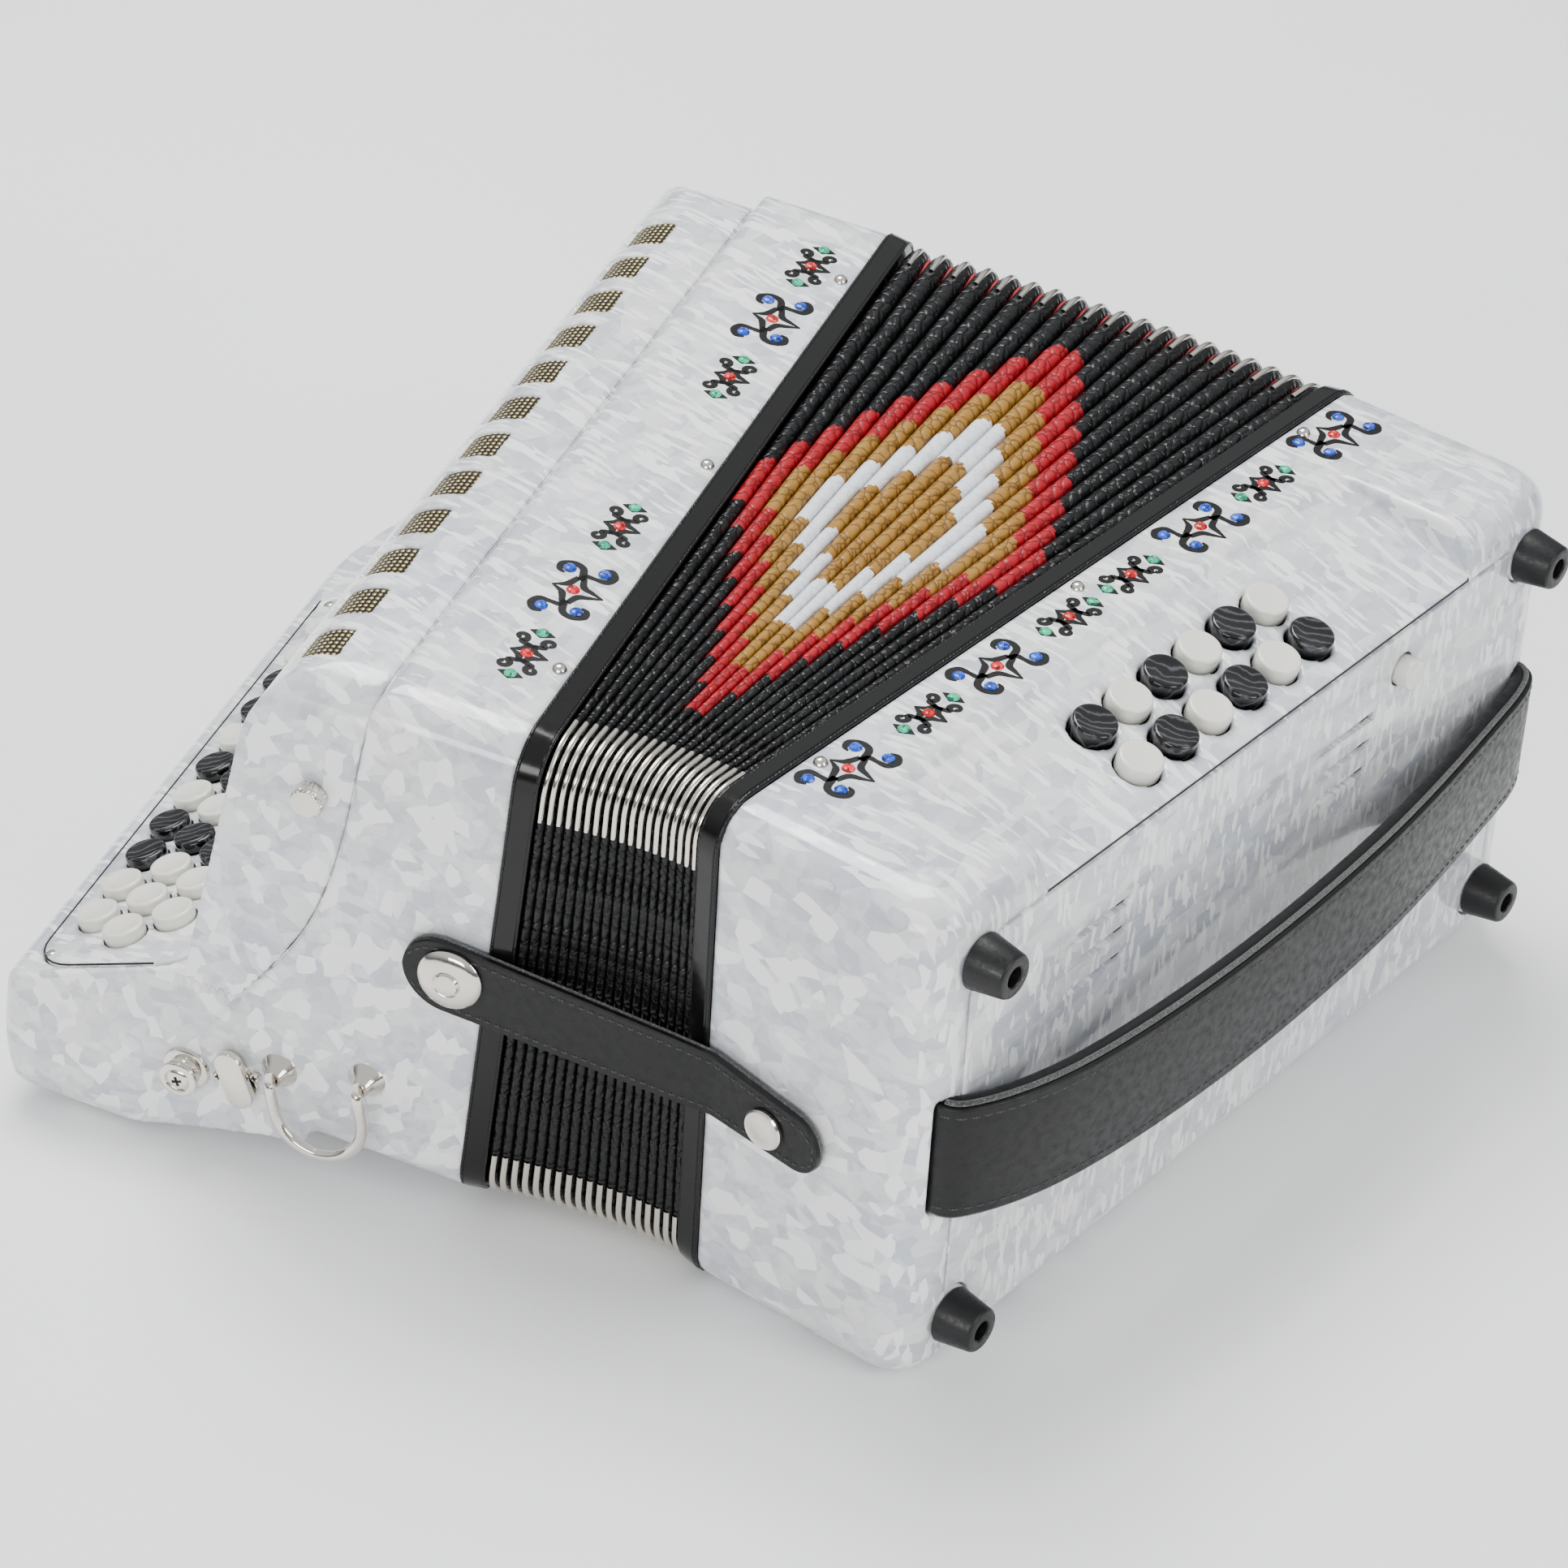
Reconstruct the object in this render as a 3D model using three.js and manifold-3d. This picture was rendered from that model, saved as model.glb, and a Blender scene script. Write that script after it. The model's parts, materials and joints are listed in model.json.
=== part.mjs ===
// Three-row diatonic button accordion, lying on its back with the bellows fanned open at one end.
// Millimetres. +Z from the back of the instrument to its front, X from the treble side to the bass side,
// Y along the cases, from the closed end of the bellows to the open end.
import * as THREE from 'three';
import { mergeVertices } from 'three/addons/utils/BufferGeometryUtils.js';
import Module from 'manifold-3d';

const wasm = await Module();
wasm.setup();

// ---- driving dimensions ----
const LENGTH = 320;            // both cases, along Y
const DEPTH = 171;             // both cases, back to front
const HALF = LENGTH / 2;
const GAP = 0.3;               // clearance kept between touching pieces
const WALL = 8;                // case walls

const FRAME_THICK = 7;         // wooden bellows frames
const FRAME_RIM = 17;          // width of the frame's border
const FOLDS = 19;
const FOLD_CLOSED = 2.85;      // thickness of one closed fold
const FOLD_DEPTH = 13;         // crest to valley
const BELLOWS_WALL = 22;       // crest to the inside of the air chamber
const BELLOWS_GAP = FOLDS * FOLD_CLOSED;
const FAN_ANGLE = 19.16;       // degrees open at rest
const FAN_TILT = 17;           // lean of the fan's axis from +Z towards +Y, degrees
const FAN_FOOT = { x: 3.4, y: -184.9 };    // where the fan's axis meets the back plane

const BASS_WIDTH = 77.5;       // mating face to end plate
const BASS_CORNER = 16;        // radius of the outer upright corners
const EDGE_ROUND = 13;         // rounding of the front and back edges
const RECESS_START = 26.3;     // where the sloping bass button field begins
const RECESS_DROP = 14;        // how far it falls by the outer edge
const RECESS_HALF = 109;
const BASS_PITCH = 17.44;
const BASS_ROWS = 6;
const BASS_COLUMNS = 2;
const BASS_FIRST_Y = -46.5;
const BASS_BUTTON_R = 7;
const PLATE_THICK = 5;
const PLATE_HALF = 142.4;
const PLATE_LOW = 10;
const PLATE_HIGH = DEPTH - 17;
const FOOT_Y = 140.2;
const FOOT_Z = [21.8, 149.5];
const FOOT_R = 9.4;
const FOOT_LONG = 12;
const AIR_BUTTON = { y: 73.2, z: 140, r: 5 };
const VENT_LONG = 31;
const VENT_Y = [-66.5, 59.5];  // deep end of each group of vents
const VENT_Z = [111, 120.5, 130];

const STRAP_Z = [64.5, 103.5];     // hand strap, back edge and front edge
const STRAP_BOW = 22;          // how far the hand strap stands off the end plate
const STRAP_THICK = 4.5;
const STRAP_SLOT_Y = 148.5;

const COVER_TOP = DEPTH - 3;   // front of the grille cover
const COVER_WALL = 3;
const COVER_HALF = HALF - 1.5; // its end cheeks lie just inside the case's ends
const SLOT_COUNT = 12;
const COVER_ROUND = 18;        // rounding of the cover's front edges
const SLOT_PITCH = 22.9;
const SLOT_WIDE = 14.4;
const SLOT_RUN = [1.5, 15];    // along the bend, from its middle
const SLOT_SHIFT = -7.5;       // the row of slots sits nearer the closed end
const ARM_TIP = -153;          // outer edge of the keyboard arm
const ARM_HALF = 163;
const ARM_DROP = 19.6;         // how far the arm's tip reaches behind the case's back
const BOARD_SLOPE = 24;        // degrees, rising towards the case
const BOARD_EDGE = { x: -146, z: 26.2 };   // outer edge of the button board
const BOARD_WIDE = 58;
const BOARD_THICK = 3;
const BOARD_Y = [-154.5, 63];
const KEY_PITCH = 16.74;
const KEY_ROW_GAP = 13.3;
const KEY_ROWS = [{ count: 11, shift: 0 }, { count: 12, shift: -0.5 }, { count: 11, shift: 0 }];
const KEY_FIRST_Y = -130.6;
const KEY_FIRST_ROW = 13;      // first row's distance from the board's outer edge
const KEY_R = 6.6;
const KEY_PROUD = 4;           // button top above the board
const KEY_DARK = ['00110101100', '000101010100', '00100100100'];   // 1 is a black button, row by row

const RING_WIRE = 2;           // radius of the bail's wire
const RING_POSTS = [{ x: -60.2, z: 26.3 }, { x: -32.7, z: 34.3 }];
const RING_STAND = 8.5;        // the bail's axis in front of the end face
const RING_HANG = 24;
const LATCH = { x: -73.2, z: 18.8, half: 10, r: 4.5 };
const SNAP_STRAP = { treble: -24, bass: 42, snap: 26, z0: 67, z1: 90, lean: 0.155, stand: 2.6, thick: 2.6 };

// ---- colours ----
const paint = (color, roughness, metalness = 0) =>
  new THREE.MeshStandardMaterial({ color, roughness, metalness });
const pearl = () => paint(0xe4e6ea, 0.25);
const blackGloss = () => paint(0x0b0b0c, 0.2);
const leather = () => paint(0x1c1c1f, 0.55);
const nickel = () => paint(0xc9c5bc, 0.2, 1);
const cream = () => paint(0xf2efdf, 0.3);
const blackPearl = () => paint(0x18181b, 0.25);
const rubber = () => paint(0x101011, 0.7);

// ---- solids ----
const toSolid = (geometry) => {
  const bare = geometry.index ? geometry.toNonIndexed() : geometry.clone();
  bare.deleteAttribute('normal');
  bare.deleteAttribute('uv');
  const merged = mergeVertices(bare, 1e-4);
  return new wasm.Manifold(new wasm.Mesh({
    numProp: 3,
    vertProperties: new Float32Array(merged.attributes.position.array),
    triVerts: new Uint32Array(merged.index.array),
  }));
};

const toGeometry = (solid) => {
  const mesh = solid.getMesh();
  const geometry = new THREE.BufferGeometry();
  geometry.setAttribute('position', new THREE.BufferAttribute(mesh.vertProperties, 3));
  geometry.setIndex(new THREE.BufferAttribute(mesh.triVerts, 1));
  geometry.computeVertexNormals();
  return geometry;
};

const box = (x0, x1, y0, y1, z0, z1) => {
  const geometry = new THREE.BoxGeometry(x1 - x0, y1 - y0, z1 - z0);
  return geometry.translate((x0 + x1) / 2, (y0 + y1) / 2, (z0 + z1) / 2);
};

// An outline drawn in (x, y) and raised along Z.
const raise = (outline, z0, z1, bevel = 0, bevelSegments = 4) => {
  const geometry = new THREE.ExtrudeGeometry(outline, {
    depth: z1 - z0 - 2 * bevel,
    curveSegments: 7,
    bevelEnabled: bevel > 0,
    bevelThickness: bevel,
    bevelSize: bevel,
    bevelOffset: -bevel,
    bevelSegments,
  });
  return geometry.translate(0, 0, z0 + bevel);
};

// An outline drawn in (x, z) and run along Y.
const alongY = (outline, y0, y1, bevel = 0) => raise(outline, -y1, -y0, bevel).rotateX(Math.PI / 2);

// An outline drawn in (y, z) and run along X.
const alongX = (outline, x0, x1) => {
  const turn = new THREE.Matrix4().makeBasis(
    new THREE.Vector3(0, 1, 0),
    new THREE.Vector3(0, 0, 1),
    new THREE.Vector3(1, 0, 0),
  );
  return raise(outline, x0, x1).applyMatrix4(turn);
};

const polygon = (points) => new THREE.Shape(points.map(([x, y]) => new THREE.Vector2(x, y)));

const roundedRect = (x0, x1, y0, y1, r) => {
  const shape = new THREE.Shape();
  shape.moveTo(x0 + r, y0);
  shape.lineTo(x1 - r, y0);
  shape.absarc(x1 - r, y0 + r, r, -Math.PI / 2, 0);
  shape.lineTo(x1, y1 - r);
  shape.absarc(x1 - r, y1 - r, r, 0, Math.PI / 2);
  shape.lineTo(x0 + r, y1);
  shape.absarc(x0 + r, y1 - r, r, Math.PI / 2, Math.PI);
  shape.lineTo(x0, y0 + r);
  shape.absarc(x0 + r, y0 + r, r, Math.PI, 1.5 * Math.PI);
  return shape;
};

// A turned piece whose axis is +Z, from (radius, height) pairs that start and end on the axis.
const turned = (pairs, segments = 12) =>
  new THREE.LatheGeometry(pairs.map(([r, z]) => new THREE.Vector2(r, z)), segments).rotateX(Math.PI / 2);

const rod = (radius, z0, z1, segments = 16) =>
  new THREE.CylinderGeometry(radius, radius, z1 - z0, segments).rotateX(Math.PI / 2).translate(0, 0, (z0 + z1) / 2);

const node = (name, geometry, material) => {
  const mesh = new THREE.Mesh(geometry, material);
  mesh.name = name;
  return mesh;
};

// ---- bass side, in a frame whose X starts at the face that meets the bellows frame ----
const RECESS_SLOPE = Math.atan(RECESS_DROP / (BASS_WIDTH - RECESS_START));
const RECESS_STEP = 1.5;

const recessHeight = (x) => DEPTH - RECESS_STEP - (x - RECESS_START) * Math.tan(RECESS_SLOPE);

// The frame of a piece that stands on the sloping button field at (x, y).
const onBassField = (object, x, y) => {
  object.position.set(x, y, recessHeight(x));
  object.rotation.y = RECESS_SLOPE;
  return object;
};

const bassPlaces = () => {
  const places = [];
  const run = BASS_PITCH * Math.cos(RECESS_SLOPE);
  for (let column = 0; column < BASS_COLUMNS; column += 1) {
    for (let row = 0; row < BASS_ROWS; row += 1) {
      places.push({ x: 46.2 + column * run, y: BASS_FIRST_Y + row * BASS_PITCH, column, row });
    }
  }
  return places;
};

const footPlaces = () => FOOT_Z.flatMap((z) => [-FOOT_Y, FOOT_Y].map((y) => ({ y, z })));

const endPlateBlank = (grow, postRadius) => {
  const blank = toSolid(box(
    BASS_WIDTH - PLATE_THICK - grow, BASS_WIDTH + (grow > 0 ? 1 : 0),
    -PLATE_HALF - grow, PLATE_HALF + grow, PLATE_LOW - grow, PLATE_HIGH + grow,
  ));
  return footPlaces().reduce((solid, { y, z }) => {
    const post = rod(postRadius, BASS_WIDTH - PLATE_THICK - 2, BASS_WIDTH + 2, 20)
      .rotateY(Math.PI / 2)
      .translate(0, y, z);
    return solid.subtract(toSolid(post));
  }, blank);
};

const bassCase = () => {
  const outline = roundedRect(-30, BASS_WIDTH, -HALF, HALF, BASS_CORNER);
  let solid = toSolid(raise(outline, 0, DEPTH, EDGE_ROUND));
  solid = solid.subtract(toSolid(box(-40, 0, -HALF - 1, HALF + 1, -1, DEPTH + 1)));
  const recess = polygon([
    [RECESS_START, DEPTH + 1],
    [RECESS_START, recessHeight(RECESS_START)],
    [BASS_WIDTH + 1, recessHeight(BASS_WIDTH + 1)],
    [BASS_WIDTH + 1, DEPTH + 1],
  ]);
  solid = solid.subtract(toSolid(alongY(recess, -RECESS_HALF, RECESS_HALF)));
  const roof = 5;
  const hollow = polygon([
    [-1, WALL],
    [BASS_WIDTH - PLATE_THICK + 0.1, WALL + 6],
    [BASS_WIDTH - PLATE_THICK + 0.1, recessHeight(BASS_WIDTH - PLATE_THICK) - roof],
    [RECESS_START, recessHeight(RECESS_START) - roof],
    [RECESS_START - 8, DEPTH - WALL],
    [-1, DEPTH - WALL],
  ]);
  solid = solid.subtract(toSolid(alongY(hollow, -RECESS_HALF - 18, RECESS_HALF + 18)));
  solid = solid.subtract(endPlateBlank(0.4, FOOT_R - 0.1));
  for (const { x, y } of bassPlaces()) {
    const hole = onBassField(new THREE.Object3D(), x, y);
    hole.updateMatrix();
    const bore = rod(BASS_BUTTON_R + 0.6, -12, 4).applyMatrix4(hole.matrix);
    solid = solid.subtract(toSolid(bore));
  }
  for (const side of [-1, 1]) {
    const y = side * STRAP_SLOT_Y;
    const slot = box(BASS_WIDTH - 14, BASS_WIDTH + 2, y - 3.4, y + 3.4, STRAP_Z[0] - 1, STRAP_Z[1] + 1);
    solid = solid.subtract(toSolid(slot));
  }
  return toGeometry(solid);
};

// The end plate, with its air button hole and two groups of vents that deepen towards one end.
const endPlate = () => {
  let solid = endPlateBlank(0, FOOT_R + 0.3);
  const hole = rod(AIR_BUTTON.r + 0.6, BASS_WIDTH - PLATE_THICK - 1, BASS_WIDTH + 1)
    .rotateY(Math.PI / 2)
    .translate(0, AIR_BUTTON.y, AIR_BUTTON.z);
  solid = solid.subtract(toSolid(hole));
  const deep = PLATE_THICK + 1;
  for (const y of VENT_Y) {
    const groove = polygon([
      [BASS_WIDTH + 1, y],
      [BASS_WIDTH - deep, y],
      [BASS_WIDTH - deep, y - 4],
      [BASS_WIDTH, y - VENT_LONG],
      [BASS_WIDTH + 1, y - VENT_LONG],
    ]);
    for (const z of VENT_Z) {
      solid = solid.subtract(toSolid(raise(groove, z - 1.3, z + 1.3)));
    }
  }
  return toGeometry(solid);
};

const button = (radius, proud, stem) => turned([
  [0, -stem],
  [2.4, -stem],
  [2.4, -1.5],
  [radius, -1.5],
  [radius, proud - 0.9],
  [radius - 0.9, proud],
  [0, proud],
]);

const foot = () => turned([
  [0, 0],
  [FOOT_R - 0.6, 0],
  [FOOT_R - 2.5, FOOT_LONG],
  [2.6, FOOT_LONG],
  [2.6, FOOT_LONG - 8],
  [0, FOOT_LONG - 8],
], 20).rotateY(Math.PI / 2);

// The hand strap bows out from one slot of the case to the other.
const handStrap = () => {
  const path = (offset) => [
    [BASS_WIDTH - 10, -STRAP_SLOT_Y + offset],
    [BASS_WIDTH + 4, -STRAP_SLOT_Y + 4 + offset],
    [BASS_WIDTH + STRAP_BOW * 0.75 - offset * 0.7, -108 + offset * 0.7],
    [BASS_WIDTH + STRAP_BOW - offset, -40],
    [BASS_WIDTH + STRAP_BOW * 0.9 - offset, 40],
    [BASS_WIDTH + STRAP_BOW * 0.5 - offset * 0.8, 112 - offset * 0.6],
    [BASS_WIDTH + 4, STRAP_SLOT_Y - 4 - offset],
    [BASS_WIDTH - 10, STRAP_SLOT_Y - offset],
  ];
  const smooth = (points) => new THREE.SplineCurve(points.map(([x, y]) => new THREE.Vector2(x, y))).getPoints(40);
  const outer = smooth(path(-STRAP_THICK / 2));
  const inner = smooth(path(STRAP_THICK / 2)).reverse();
  return raise(new THREE.Shape([...outer, ...inner]), STRAP_Z[0], STRAP_Z[1]);
};

// ---- treble side, in a frame whose X starts at the face that meets the bellows frame ----
const SLOPE = THREE.MathUtils.degToRad(BOARD_SLOPE);
const boardHeight = (x) => BOARD_EDGE.z + (x - BOARD_EDGE.x) * Math.tan(SLOPE);

// Places an object in the board's own frame: X across the board, Z its outward normal.
const onBoard = (object, across, y, up = 0) => {
  object.position.set(
    BOARD_EDGE.x + across * Math.cos(SLOPE) - up * Math.sin(SLOPE),
    y,
    BOARD_EDGE.z + across * Math.sin(SLOPE) + up * Math.cos(SLOPE),
  );
  object.rotation.y = -SLOPE;
  return object;
};

const boardMatrix = (across = 0, y = 0) => {
  const place = onBoard(new THREE.Object3D(), across, y);
  place.updateMatrix();
  return place.matrix;
};

// The end outline of the case, hollowed where it sweeps from the front down to the keyboard.
const caseOutline = (grow = 0) => {
  const shape = new THREE.Shape();
  shape.moveTo(30, 0);
  shape.lineTo(30, DEPTH);
  shape.lineTo(-40 - grow, DEPTH);
  shape.quadraticCurveTo(-45 - grow, DEPTH, -45.5 - grow, DEPTH - 7);
  shape.bezierCurveTo(-48 - grow, DEPTH - 50, -50 - grow, DEPTH - 80, -64 - grow, DEPTH - 104);
  shape.quadraticCurveTo(-71 - grow, DEPTH - 118, -84 - grow, 33);
  shape.lineTo(-84 - grow, 0);
  return shape;
};

const CASE_HOLLOW = [
  [1, WALL],
  [1, DEPTH - WALL],
  [-34, DEPTH - WALL],
  [-38, DEPTH - 50],
  [-44, DEPTH - 80],
  [-56, DEPTH - 104],
  [-64, 45],
  [-64, WALL],
];

// The arm's cross-section, from under the case out to its rounded tip.
const armSection = (grow = 0) => {
  const shape = new THREE.Shape();
  shape.moveTo(-50, 0.5 - grow);
  shape.lineTo(-50, boardHeight(-50) + grow);
  shape.lineTo(BOARD_EDGE.x + 0.5, boardHeight(BOARD_EDGE.x + 0.5) + grow);
  shape.bezierCurveTo(ARM_TIP + 1, 26 + grow, ARM_TIP - grow, 20, ARM_TIP - grow, 14);
  shape.bezierCurveTo(ARM_TIP - grow, 0, ARM_TIP + 8, -ARM_DROP - grow, ARM_TIP + 22, -ARM_DROP - grow);
  shape.bezierCurveTo(-112, -ARM_DROP - grow, -90, -8 - grow, -50, 0.5 - grow);
  return shape;
};

// The arm seen from its end, rounded off past the board.
const armSide = (grow = 0) => {
  const half = ARM_HALF + grow;
  const shape = new THREE.Shape();
  const low = -ARM_DROP - grow;
  shape.moveTo(-half + 16, low);
  shape.lineTo(half - 16, low);
  shape.quadraticCurveTo(half, low, half, low + 16);
  shape.lineTo(half, 12);
  shape.bezierCurveTo(half, 22 + grow, half - 4.5, 22 + grow, half - 5.7, 48 + grow);
  shape.lineTo(half - 7, 80);
  shape.lineTo(-half + 7, 80);
  shape.lineTo(-half + 5.7, 48 + grow);
  shape.bezierCurveTo(-half + 4.5, 22 + grow, -half, 22 + grow, -half, 12);
  shape.lineTo(-half, low + 16);
  shape.quadraticCurveTo(-half, low, -half + 16, low);
  return shape;
};

// The arm seen from the front: past the case's end at the closed end, curving in from the tip at the open end.
const armPlan = (grow = 0) => {
  const half = ARM_HALF + grow;
  const tip = ARM_TIP - 1 - grow;
  const shape = new THREE.Shape();
  shape.moveTo(-40, -HALF - grow);
  shape.lineTo(-40, HALF + grow);
  shape.lineTo(-100, HALF + grow);
  shape.bezierCurveTo(-120, HALF + grow, tip, 105 + grow, tip, 58);
  shape.lineTo(tip, -half + 18);
  shape.bezierCurveTo(tip, -half + 5, tip + 5, -half, tip + 18, -half);
  shape.lineTo(-114, -half);
  shape.bezierCurveTo(-104, -half, -104, -HALF - grow, -96, -HALF - grow);
  return shape;
};

const armSolid = (grow = 0) => {
  const run = toSolid(alongY(armSection(grow), -ARM_HALF - 2, ARM_HALF + 2));
  const side = toSolid(alongX(armSide(grow), ARM_TIP - 5, -45));
  const plan = toSolid(raise(armPlan(grow), -ARM_DROP - 5, 90));
  return run.intersect(side).intersect(plan);
};

const ringPost = () => turned([[0, -2], [5.5, -2], [5.5, 1], [2.6, 4.6], [2.6, 5.7], [0, 5.7]], 14);

const trebleCase = () => {
  const rounded = alongX(roundedRect(-HALF, HALF, 0, DEPTH, EDGE_ROUND), -97, 30);
  let solid = toSolid(alongY(caseOutline(), -HALF, HALF)).intersect(toSolid(rounded));
  solid = solid.add(armSolid());
  solid = solid.subtract(toSolid(box(0, 40, -HALF - 9, HALF + 9, -20, DEPTH + 9)));
  solid = solid.subtract(toSolid(alongY(polygon(CASE_HOLLOW), -HALF + WALL, HALF - WALL)));
  const [low, high] = BOARD_Y;
  const onSlope = (geometry) => toSolid(geometry.applyMatrix4(boardMatrix()));
  solid = solid.subtract(onSlope(raise(boardOutline(0.4), -BOARD_THICK - GAP, 30)));
  solid = solid.subtract(onSlope(box(2.4, BOARD_WIDE - 6, low + 4, high - 4, -22, 1)));
  for (const { x, z } of RING_POSTS) {
    solid = solid.add(toSolid(ringPost().rotateX(Math.PI / 2).translate(x, -HALF, z)));
  }
  return toGeometry(solid);
};

function boardOutline(grow = 0) {
  return roundedRect(-grow, BOARD_WIDE + grow, BOARD_Y[0] - grow, BOARD_Y[1] + grow, 14);
}

const keyPlaces = () => KEY_ROWS.flatMap(({ count, shift }, row) => {
  const across = KEY_FIRST_ROW + row * KEY_ROW_GAP;
  const place = (_, i) => ({ row, i, across, y: KEY_FIRST_Y + (i + shift) * KEY_PITCH, fixed: i === count - 1 });
  return Array.from({ length: count }, place);
});

// The board, with a hole for each button; the last button of each row is in one piece with it.
const keyBoard = () => {
  let solid = toSolid(raise(boardOutline(), -BOARD_THICK, 0));
  for (const { across, y, fixed } of keyPlaces()) {
    solid = fixed
      ? solid.add(toSolid(rod(KEY_R - 0.4, -BOARD_THICK, KEY_PROUD - 0.4, 12).translate(across, y, 0)))
      : solid.subtract(toSolid(rod(KEY_R + 0.6, -BOARD_THICK - 1, 1).translate(across, y, 0)));
  }
  return toGeometry(solid);
};

// The hood over the pallets: flat at the front, rounded at the outer edge, down to the arm.
const coverOutline = (inset) => {
  const shape = new THREE.Shape();
  const foot = inset > 0 ? -10 : 20;
  shape.moveTo(-30, COVER_TOP - inset);
  shape.lineTo(-57, COVER_TOP - inset);
  shape.bezierCurveTo(
    -72 + inset * 0.5, COVER_TOP - inset,
    -80.5 + inset, COVER_TOP - 8 - inset * 0.6,
    -84.3 + inset, COVER_TOP - 25,
  );
  shape.lineTo(-97.8 + inset, foot);
  shape.lineTo(-30, foot);
  return shape;
};

const trebleCover = () => {
  const envelope = (inset) => {
    const half = COVER_HALF - inset;
    const run = toSolid(alongY(coverOutline(inset), -half, half));
    return run.intersect(toSolid(alongX(roundedRect(-half, half, -40, COVER_TOP - inset, COVER_ROUND), -110, -20)));
  };
  let solid = envelope(0).subtract(envelope(COVER_WALL));
  solid = solid.subtract(toSolid(alongY(caseOutline(0.5), -HALF - 9, HALF + 9)));
  solid = solid.subtract(armSolid(0.5));
  for (let i = 0; i < SLOT_COUNT; i += 1) {
    const y = (i - (SLOT_COUNT - 1) / 2) * SLOT_PITCH + SLOT_SHIFT;
    const slot = box(SLOT_RUN[0], SLOT_RUN[1], y - SLOT_WIDE / 2, y + SLOT_WIDE / 2, -16, 16);
    slot.rotateY(-Math.PI / 4).translate(-78, 0, COVER_TOP - 8);
    solid = solid.subtract(toSolid(slot));
  }
  return toGeometry(solid);
};

const bailHinge = () => {
  const [a, b] = RING_POSTS.map(({ x, z }) => new THREE.Vector3(x, -HALF - RING_STAND, z));
  return { a, b, middle: a.clone().add(b).multiplyScalar(0.5), along: b.clone().sub(a).normalize() };
};

// A bail of round wire: two legs and a half circle, hanging from the line between its posts.
const strapRing = () => {
  const { a, b, middle, along } = bailHinge();
  const radius = a.distanceTo(b) / 2;
  const down = along.clone().cross(new THREE.Vector3(0, -1, 0)).normalize();
  const legs = RING_HANG - radius;
  const at = (side, fall) => middle.clone().addScaledVector(along, side).addScaledVector(down, fall);
  const points = [at(-radius, -1.5), at(-radius, legs * 0.5)];
  for (let i = 0; i <= 8; i += 1) {
    const turn = Math.PI * i / 8;
    points.push(at(-radius * Math.cos(turn), legs + radius * Math.sin(turn)));
  }
  points.push(at(radius, legs * 0.5), at(radius, -1.5));
  const wire = new THREE.Shape();
  wire.absarc(0, 0, RING_WIRE, 0, 2 * Math.PI);
  return new THREE.ExtrudeGeometry(wire, {
    steps: 26,
    curveSegments: 5,
    extrudePath: new THREE.CatmullRomCurve3(points),
  });
};

const turnLatch = () => {
  const { half, r } = LATCH;
  const tab = toSolid(raise(roundedRect(-r, r, -half, half, r - 0.01), 2.2, 4.6));
  const boss = toSolid(rod(3.4, 0.3, 3));
  const lean = THREE.MathUtils.degToRad(24);
  return toGeometry(tab.add(boss)).rotateZ(lean).rotateX(Math.PI / 2).translate(LATCH.x, -HALF, LATCH.z);
};

// ---- bellows and their frames ----
const FAN_AXIS = new THREE.Vector3(0, 1, 0).applyAxisAngle(
  new THREE.Vector3(1, 0, 0),
  THREE.MathUtils.degToRad(90 - FAN_TILT),
);
const FAN_PIVOT = new THREE.Vector3(FAN_FOOT.x, FAN_FOOT.y, 0);
const CLOSED_SHIFT = -2 * FRAME_THICK - BELLOWS_GAP;

// Moves a point of the closed instrument to where the fan carries it: part is 0 at the bass side, 1 at the treble.
const fanned = (point, part) => {
  const angle = THREE.MathUtils.degToRad(FAN_ANGLE) * part;
  return point.clone().sub(FAN_PIVOT).applyAxisAngle(FAN_AXIS, angle).add(FAN_PIVOT);
};

const bellowsFrame = (x0, x1) => {
  const rim = alongX(roundedRect(-HALF - 1, HALF + 1, 0, DEPTH + 1, EDGE_ROUND + 1), x0, x1);
  const low = FRAME_RIM - HALF;
  const window = box(x0 - 1, x1 + 1, low, -low, FRAME_RIM, DEPTH - FRAME_RIM);
  return toGeometry(toSolid(rim).subtract(toSolid(window)));
};

// The folded walls, a tube with one crest per fold and a plain inside, open to both cases.
const bellows = () => {
  const rings = [];
  const loop = (part, inset) => {
    const x = -FRAME_THICK - GAP - part * (BELLOWS_GAP - 2 * GAP);
    const y = HALF - 1 - inset;
    const corner = Math.max(EDGE_ROUND - inset, 2);
    return roundedRect(-y, y, 1 + inset, DEPTH - 1 - inset, corner)
      .getPoints(2)
      .slice(0, -1)
      .map((p) => fanned(new THREE.Vector3(x, p.x, p.y), part));
  };
  for (let i = 0; i <= 2 * FOLDS; i += 1) {
    rings.push(loop(i / (2 * FOLDS), i % 2 === 0 ? FOLD_DEPTH : 0));
  }
  for (let i = FOLDS; i >= 0; i -= 1) {
    rings.push(loop(i / FOLDS, BELLOWS_WALL));
  }
  const corners = rings.flat().flatMap((p) => [p.x, p.y, p.z]);
  const sides = rings[0].length;
  const faces = [];
  for (let ring = 0; ring < rings.length; ring += 1) {
    for (let side = 0; side < sides; side += 1) {
      const next = (side + 1) % sides;
      const a = ring * sides + side;
      const b = ring * sides + next;
      const c = ((ring + 1) % rings.length) * sides + next;
      const d = ((ring + 1) % rings.length) * sides + side;
      faces.push(a, c, b, a, d, c);
    }
  }
  const geometry = new THREE.BufferGeometry();
  geometry.setAttribute('position', new THREE.Float32BufferAttribute(corners, 3));
  geometry.setIndex(faces);
  geometry.computeVertexNormals();
  return geometry;
};

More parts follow.
